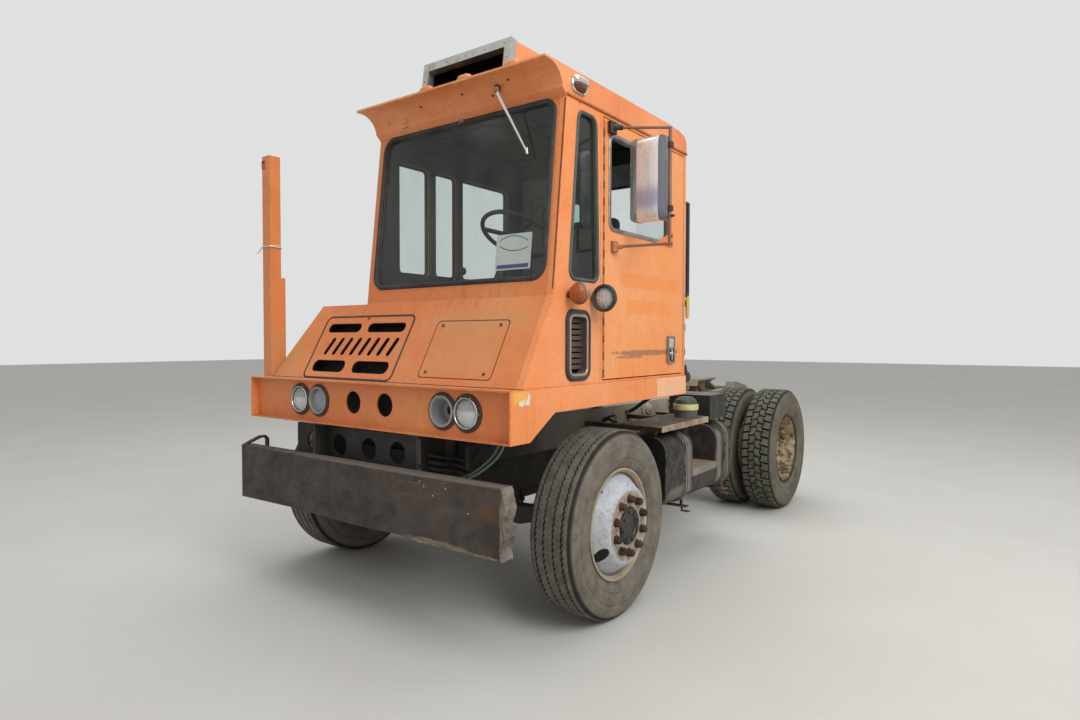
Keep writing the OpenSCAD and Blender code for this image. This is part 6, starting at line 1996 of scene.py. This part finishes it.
@dataclass(frozen=True)
class FrameTrim:
    """Bosses, bolts, hoses and steering gear along the frame, the bumper's scars, the post and the tail."""

    def boss(self, y: float, z: float, radius: float, reach: float) -> Surface:
        """A stepped round boss on the outer face of the left rail."""
        r = radius
        profile = [[0, reach], [r * 0.34, reach], [r * 0.38, reach - 4], [r * 0.4, reach - 10],
                   [r * 0.62, reach - 12], [r * 0.7, reach - 16], [r * 0.72, reach * 0.45], [r * 0.94, reach * 0.42],
                   [r, reach * 0.34], [r, -1], [0, -1]]
        return revolved(profile, RAIL, (y, z), 36)

    def fittings(self) -> None:
        """The boom's bearing bosses and bolts on both rails, and the second fitting behind them."""
        bosses = [self.boss(1616, 955, 62, 60), self.boss(2067, 944, 38, 90)]
        turn = np.arange(6) * np.pi / 3 + 0.3
        ring = np.stack([1616 + 80 * np.cos(turn), 955 + 80 * np.sin(turn)], 1)
        ring = ring[ring[:, 1] < 1000]
        rows = [[y, z] for y in np.arange(1130, 3800, 178) for z in (790, 965)]
        bolts = [heads(RAIL, ring, 8, 8), heads(RAIL, rows, 9, 8),
                 block((430, 1600, 1009), (452, 1680, 1015), 2), block((430, 2030, 990), (470, 2104, 1000), 2)]
        parts = [*bosses, *bolts]
        piece("rail_bosses", "dusty_steel", RAIL_DUST, both_sides(parts))

    def hoses(self) -> None:
        """Dark hoses at the front of the left rail, pale green ones below the fascia, blue couplings, aprons."""
        dark = []
        for drop, sway in ((0.0, 0.0), (34.0, 8.0), (66.0, -6.0)):
            route = [(458, -742, 905 - drop), (462 + sway, -660, 884 - drop), (470 - sway, -570, 868 - drop),
                     (492 + sway, -480, 836 - drop), (545, -440, 822 - drop / 2), (600, -455, 835 - drop / 3)]
            dark.append(swept(smooth_path(route, 36), circle(10.5, 10), (1, 0, 0.2)))
        piece("front_hoses", "hose_rubber", HOSE, dark)
        green = []
        for shift in (0.0, 34.0):
            route = [(742 - shift, -470, 1000), (736 - shift, -478, 950), (706 - shift, -505, 880),
                     (650 - shift, -560, 815), (586 - shift, -590, 778), (540 - shift, -560, 770)]
            green.append(swept(smooth_path(route, 30), circle(6.5, 10), (0, 1, 0.2)))
        piece("green_hoses", "hose_rubber", GREEN_HOSE, green)
        blue = [rod((600, 850, 912), (628, 812, 912), 17, 14), rod((628, 812, 912), (640, 796, 912), 11, 12),
                rod((596, 880, 935), (622, 842, 935), 14, 14)]
        piece("blue_couplings", "black_plastic", BLUE, blue)
        runs = ((((432, 940, 900), (520, 920, 940), (596, 870, 925)), 9),
                (((432, 1010, 930), (540, 980, 960), (600, 860, 915)), 8))
        joints = [swept(smooth_path(run, 18), circle(radius, 10), (0, 0.2, 1)) for run, radius in runs]
        piece("coupling_hoses", "hose_rubber", HOSE, joints)
        apron = plate(rounded_box(-560, 590, 900, 792, 20, 3), RAIL, 0.5, 6.5)
        screws = heads(facing_left(436.5), [[y, 772.0] for y in np.linspace(-520, 860, 9)], 9, 6)
        piece("splash_aprons", "hose_rubber", HOSE, both_sides([apron, screws]))

    def steering_gear(self) -> None:
        """Steering gear on the outside of the left rail: cast body, top cover and round shaft boss."""
        parts = [block((430, -520, 800), (520, -340, 940), 14), block((444, -506, 938), (506, -354, 954), 6),
                 rod((475, -430, 954), (475, -430, 1005), 22, 18), rod((520, -430, 860), (534, -430, 860), 44, 24),
                 rod((475, -340, 870), (475, -300, 870), 34, 20)]
        turn = np.arange(4) * np.pi / 2 + np.pi / 4
        ring = np.stack([-430 + 34 * np.cos(turn), 860 + 34 * np.sin(turn)], 1)
        parts.append(heads(facing_left(534), ring, 7, 6))
        piece("steering_gear", "black_paint", BLACK, parts)

    def bumper(self) -> None:
        """Rough skin over the torn end, a ragged lower edge, the far end's loop and pale specks of weld."""
        rng = np.random.default_rng(7)
        z = np.linspace(504, 831, 64)
        edge = np.interp(z, [503, 555, 613, 682, 737, 792, 832], [1043, 1035, 1059, 1047, 1065, 1053, 1039])
        y = np.linspace(-866, -787, 10)
        rough = rng.uniform(-1, 1, (len(z), len(y)))
        rough[1:-1] = (rough[:-2] + 2 * rough[1:-1] + rough[2:]) / 4
        skin = np.stack([edge[:, None] + 4 + 7 * rough, y[None] + rng.uniform(-1.5, 1.5, rough.shape),
                         z[:, None] + rng.uniform(-1.8, 1.8, rough.shape)], -1)
        skin[:, [0, -1], 0] -= 5
        count = 60
        x = np.linspace(470, 1018, count)
        path = np.stack([x, np.full(count, -862.0) + rng.uniform(-1, 1, count), 508 + rng.uniform(-4, 5, count)], 1)
        lower = swept(path, circle(5.0, 7) * [1, 1.4], (0, 1, 0.1))
        piece("bumper_torn_edge", "rusty_steel", TORN, [closed_sheet(skin, np.array([-8.0, 0, 0])), lower])
        brace = [(-1050, -864, 826), (-1050, -806, 852), (-1050, -750, 872), (-1050, -716, 872), (-1050, -700, 854),
                 (-1050, -700, 790), (-1050, -714, 762), (-1050, -786, 742)]
        flat = [[-7, -14], [7, -14], [7, 14], [-7, 14]]
        piece("bumper_brace", "rusty_steel", BUMPER_STEEL, [swept(brace, flat, (1, 0, 0))])
        specks = [[522, 800], [549, 778], [696, 786], [610, 742], [840, 690]]
        piece("bumper_specks", "rusty_steel", PALE_STICKER, [heads(BUMPER_FACE, specks, 3.4, 2.0, 7)])

    def corner_post(self) -> None:
        """Red-brown bracket at the post's top corner, and the wire tied round it."""
        front = facing_front(-720)
        bracket = [plate(box_outline(-1046, 2562, -1012, 2612), front, -1.0, 4.0, 1.0),
                   block((-1046, -724, 2600), (-1010, -700, 2610), 1.5)]
        piece("post_bracket", "rusty_steel", RED_RUST, bracket)
        loop = rounded_box(-1049, -724, -961, -641, 8, 3)
        wire = []
        for z, lean in ((2070.0, 4.0), (2079.0, -5.0)):
            path = np.column_stack([loop, z + lean * np.sin(np.linspace(0, 2 * np.pi, len(loop), endpoint=False))])
            wire.append(swept(path, circle(3.6, 7), (0, 0, 1), closed=True))
        tail = smooth_path([(-1044, -722, 2078), (-1070, -724, 2052), (-1104, -722, 2040), (-1122, -716, 2048)], 12)
        wire.append(swept(tail, circle(3.4, 7), (0, 0, 1)))
        piece("post_wire", "bright_steel", WIPER_METAL, wire)

    def rear(self) -> None:
        """Tail lamps with their rims on the frame's end, and the clips of the front leaf springs."""
        tail = facing_back(3888)
        lens = [[0, 20], [22, 19], [38, 14], [46, 4], [48, -1], [0, -1]]
        piece("tail_lamps", "amber_lens", RED_LENS, [revolved(lens, tail, (s * 330, 880), 28) for s in (-1, 1)])
        rim = [[48, -1], [48, 8], [53, 8], [55, 3], [55, -1]]
        piece("tail_lamp_rims", "hose_rubber", GASKET, ringed(rim, tail, ((-330, 880), (330, 880)), 28))
        clips = []
        for s in (-1, 1):
            for y, low, high in ((-330, 531, 568), (-64, 452, 622), (64, 452, 622), (330, 531, 568)):
                clips += [rod((s * x, y, low), (s * x, y, high), 7.5, 10) for x in (340, 430)]
                clips += [block((s * 385 - 52, y - 11, z), (s * 385 + 52, y + 11, z + 9), 2) for z in (low, high)]
            clips.append(block((s * 385 - 40, -100, 600), (s * 385 + 40, 100, 614), 3))
        piece("spring_clips", "rusty_steel", SPRING_STEEL, clips)

    def build(self) -> None:
        """All of the frame's trim."""
        self.fittings()
        self.hoses()
        self.steering_gear()
        self.bumper()
        self.corner_post()
        self.rear()


@dataclass(frozen=True)
class HiddenSides:
    """Small fittings on the sides that the photograph doesn't show, as such a vehicle usually has them."""

    tank_x: float = -620.0
    tank_heights: tuple[float, ...] = (560.0, 830.0)
    tank_radius: float = 120.0

    def door_pull(self) -> None:
        """Bar handle of the sliding door on two feet, and its round lock."""
        parts = [rod((-212, 1100, 1640), (-212, 1100, 1860), 9, 14)]
        parts += [rod((-212, 1067, z), (-212, 1100, z), 7, 12) for z in (1656, 1844)]
        parts.append(heads(REAR_DOOR, [[212.0, 1570.0]], 20, 9, 24))
        piece("rear_door_pull", "bright_steel", DULL_BRIGHT, parts, "rear_door")

    def battery_lid(self) -> None:
        """Lid with turned-down edges on the battery box, and two draw catches on its outer side."""
        piece("battery_lid", "black_paint", BLACK, [block((-1016, 794, 866), (-554, 1426, 908), 6)])
        side = facing_right(-1016)
        parts = []
        for y in (960.0, 1260.0):
            parts += [plate(rounded_box(-y - 17, 872, -y + 17, 902, 4, 3), side, -1, 5),
                      plate(rounded_box(-y - 14, 800, -y + 14, 856, 5, 3), side, -7, 3),
                      *(rod((-1024, y + s, 842), (-1024, y + s, 886), 3, 8) for s in (-9, 9)),
                      rod((-1024, y - 12, 886), (-1024, y + 12, 886), 4, 8),
                      rod((-1020, y - 12, 842), (-1020, y + 12, 842), 6, 8)]
        piece("battery_catches", "bright_steel", DULL_BRIGHT, parts)

    def tank_ends(self) -> None:
        """Dished ends, weld beads and holding bands of the two air tanks, and one drain tap."""
        dome = [[119, -2], [117, 8], [106, 18], [82, 27], [44, 33], [0, 35]]
        bead = [[119, -5], [122, -3], [123, 0], [122, 3], [119, 5]]
        band = [[119, -17], [123.5, -16], [123.5, 16], [119, 17]]
        shells, bands = [], []
        for z in self.tank_heights:
            centre = (self.tank_x, z)
            front, back = facing_front(1500), facing_back(2200)
            shells += [revolved(dome, front, centre, 40), revolved(dome, back, (-self.tank_x, z), 40)]
            shells += [revolved(bead, replace(front, origin=(0, y, 0)), centre, 40, wrap=True) for y in (1528, 2172)]
            bands += [revolved(band, replace(front, origin=(0, y, 0)), centre, 40, wrap=True) for y in (1625, 2065)]
        low = self.tank_heights[0] - self.tank_radius
        taps = [rod((self.tank_x, 1850, low + 4), (self.tank_x, 1850, low - 18), 9, 6)]
        piece("air_tank_ends", "dusty_steel", CHASSIS, shells)
        piece("air_tank_bands", "black_paint", STRAP, bands + taps)

    def build(self) -> None:
        """Every fitting of the hidden sides."""
        self.door_pull()
        self.battery_lid()
        self.tank_ends()


@dataclass(frozen=True)
class AirHose:
    """The hose down the cab's rear corner, smooth, along the same route as the plain one."""

    route: tuple[tuple[float, float, float], ...] = (
        (1000, 1060, 1770), (1000, 1060, 1640), (1000, 1060, 1500), (1000, 1060, 1380), (998, 1068, 1300),
        (985, 1105, 1240), (940, 1165, 1205), (870, 1225, 1175), (780, 1270, 1140), (680, 1300, 1095),
        (580, 1320, 1035), (500, 1325, 980), (460, 1325, 960), (430.3, 1325, 960))
    length_m: float = 1.235
    radius: float = 14.0

    def build(self) -> None:
        """A round tube through the route's points, with its two end ferrules; both ends are on the vehicle."""
        path = smooth_path(self.route, 90)
        tube = swept(path, circle(self.radius, 16), (0, 1, 0))
        hose = piece("air_hose.smooth", "hose_rubber", HOSE, [tube], replaces=["air_hose"])
        ends = [rod((1000, 1060, 1752), (1000, 1060, 1792), 18, 12), rod((430.3, 1325, 960), (462, 1325, 960), 19, 6)]
        ferrules = piece("air_hose_ferrules", "bright_steel", DULL_BRIGHT, ends)


# Cab inside ---------------------------------------------------------------------------------------


@dataclass(frozen=True)
class Pad:
    """One seat cushion: a rounded block swollen by cloth pressure, with sewn channels."""

    name: str
    low: tuple[float, float, float]
    high: tuple[float, float, float]
    thin: int
    channels: tuple[float, ...]
    cap_mm: float = 9.0
    inset_mm: float = 9.0
    face_size: float = 0.007
    pressure: float = 4.0
    tension: float = 25.0
    frames: int = 20
    channel_depth: float = 0.007
    channel_half: float = 0.006

    def start(self) -> Surface:
        """The rounded block that the pad swells from, with its broad side across its thin direction."""
        low, high = np.array(self.low) + self.inset_mm, np.array(self.high) - self.inset_mm
        wide = [i for i in range(3) if i != self.thin]
        plan = rounded_box(low[wide[0]], low[wide[1]], high[wide[0]], high[wide[1]], 46, 8)
        middle = plan.mean(0)
        deep = high[self.thin] - low[self.thin]
        levels = []
        for share, rise in ((0.9, 0.0), (0.97, 0.08), (1.0, 0.24), (1.0, 0.76), (0.97, 0.92), (0.88, 1.0)):
            ring = middle + (plan - middle) * share
            points = np.zeros((len(plan), 3))
            points[:, wide[0]], points[:, wide[1]] = ring[:, 0], ring[:, 1]
            points[:, self.thin] = low[self.thin] + rise * deep
            levels.append(points)
        return grid(np.stack(levels), wrap_v=True, capped=True)

    def build(self) -> None:
        """Makes the start shape, swells it and presses the channels in."""
        obj = piece(self.name, "seat_cover", SEAT_CLOTH, [self.start()], replaces=["seat_cushions"], sharp=180)
        self.remesh(obj)
        self.swell(obj)
        self.press(obj)
        finer = obj.modifiers.new("finer", "SUBSURF")
        finer.levels = finer.render_levels = 1

    def baked(self, obj: bpy.types.Object) -> None:
        """Puts the modifiers' result into the object's own mesh and takes the modifiers off."""
        done = bpy.data.meshes.new_from_object(obj.evaluated_get(bpy.context.evaluated_depsgraph_get()))
        obj.modifiers.clear()
        obj.data = done

    def remesh(self, obj: bpy.types.Object) -> None:
        """Even small faces all over, as cloth needs."""
        modifier = obj.modifiers.new("even_faces", "REMESH")
        modifier.mode = "VOXEL"
        modifier.voxel_size = self.face_size
        self.baked(obj)

    def swell(self, obj: bpy.types.Object) -> None:
        """Cloth pressure for some frames; each point then moves no further than the cap allows."""
        rest = points_of(obj)
        modifier = obj.modifiers.new("swell", "CLOTH")
        modifier.settings.use_pressure = True
        modifier.settings.uniform_pressure_force = self.pressure
        modifier.settings.effector_weights.gravity = 0.0
        modifier.settings.tension_stiffness = self.tension
        for number in range(1, self.frames + 1):
            bpy.context.scene.frame_set(number)
        self.baked(obj)
        bpy.context.scene.frame_set(1)
        move = points_of(obj) - rest
        length = np.maximum(np.linalg.norm(move, axis=1, keepdims=True), 1e-9)
        moved = rest + move * np.minimum(1.0, self.cap_mm / 1000 / length)
        low, high = placed(np.array(self.low)), placed(np.array(self.high))
        moved = np.clip(moved, low, high)
        set_points(obj, moved)

    def press(self, obj: bpy.types.Object) -> None:
        """Sewn channels across the face: their depth times exp(-(distance / half width) squared)."""
        points = points_of(obj)
        low, high = placed(np.array(self.low)), placed(np.array(self.high))
        along = 1 if self.thin == 2 else 2
        face = (points[:, self.thin] - low[self.thin]) / (high[self.thin] - low[self.thin])
        upper = face if self.thin == 2 else 1.0 - face
        share = np.clip((upper - 0.55) / 0.25, 0, 1)
        depth = np.zeros(len(points))
        for place in self.channels:
            centre = low[along] + place * (high[along] - low[along])
            across = (points[:, along] - centre) / self.channel_half
            depth = np.maximum(depth, self.channel_depth * np.exp(-across ** 2))
        way = -1.0 if self.thin == 2 else 1.0
        points[:, self.thin] += way * depth * share
        set_points(obj, points)


def points_of(obj: bpy.types.Object) -> Array:
    """The points of an object's mesh as an array."""
    flat = np.empty(len(obj.data.vertices) * 3, np.float32)
    obj.data.vertices.foreach_get("co", flat)
    return flat.reshape(-1, 3).astype(float)


def set_points(obj: bpy.types.Object, points: Array) -> None:
    """Puts an array of points back into an object's mesh."""
    obj.data.vertices.foreach_set("co", points.astype(np.float32).reshape(-1))
    obj.data.update()


@dataclass(frozen=True)
class Inside:
    """Cushions, belt, shift lever, dash gauges and the horn cap, as far as they show through the glass."""

    def build(self) -> None:
        """Pads first, then the small things."""
        Pad("seat_pad", (215, 350, 1600.3), (685, 760, 1720), 2, (0.3, 0.52, 0.74)).build()
        Pad("back_pad", (225, 768, 1650), (675, 849.5, 2320), 1, (0.22, 0.42, 0.62, 0.82)).build()
        lever = [swept(smooth_path([(190, -235, 1700), (186, -222, 1790), (176, -190, 1880)], 12), circle(7, 10),
                       (1, 0, 0)),
                 revolved([[0, 26], [14, 22], [24, 8], [24, -6], [12, -20], [0, -22]], facing_front(-184),
                          (174, 1894), 20)]
        piece("shift_lever", "black_plastic", BLACK_PLASTIC, lever)
        top = Plane((0, -225, 1749), (-1, 0, 0), (0, -0.78, 0.625))
        gauges = [(-x, 0) for x in (290, 370, 450, 530, 610)]
        rim = [[24, -4], [24, 4], [27, 5], [30, 3], [30, -4]]
        rims = ringed(rim, top, gauges, 28)
        piece("dash_gauge_rims", "bright_steel", DULL_BRIGHT, rims)
        face = [[0, 2], [24.5, 2], [24.5, -4], [0, -4]]
        faces = [revolved(face, top, place, 28) for place in gauges]
        piece("dash_gauge_faces", "black_plastic", PALE_CARD, faces)
        wheel = Plane((450, -20, 2104.7), (-1, 0, 0), (0, -math.cos(math.radians(30)), math.sin(math.radians(30))))
        horn = revolved([[0, 10], [18, 9], [34, 5], [41, -2], [41, -10], [0, -10]], wheel, (0, 0), 28)
        piece("horn_cap", "black_plastic", BLACK_PLASTIC, [horn])
        belt = swept(smooth_path([(232, 842, 2180), (240, 772, 2080), (262, 756, 1900), (250, 730, 1742),
                                  (214, 640, 1728)], 30), [[-22, -1], [22, -1], [22, 1], [-22, 1]],
                     (0.1, -1, 0.2))
        piece("seat_belt", "seat_cover", BELT, [belt])


def main() -> None:
    """Builds the studio, dresses the nodes, then makes each sub-assembly in order."""
    Studio().build()
    AirHose().build()
    dress_nodes()
    for side in Side:
        FrontWheel(side).build()
        RearWheels(side).build()
    for assembly in (CabTrim(), RoofBox(), AmberLamps(), FrontLamps(), NoseTrim(), DoorTrim(), StepTank(),
                     FrameTrim(), HiddenSides(), Inside()):
        assembly.build()


if __name__ == "__main__":
    main()
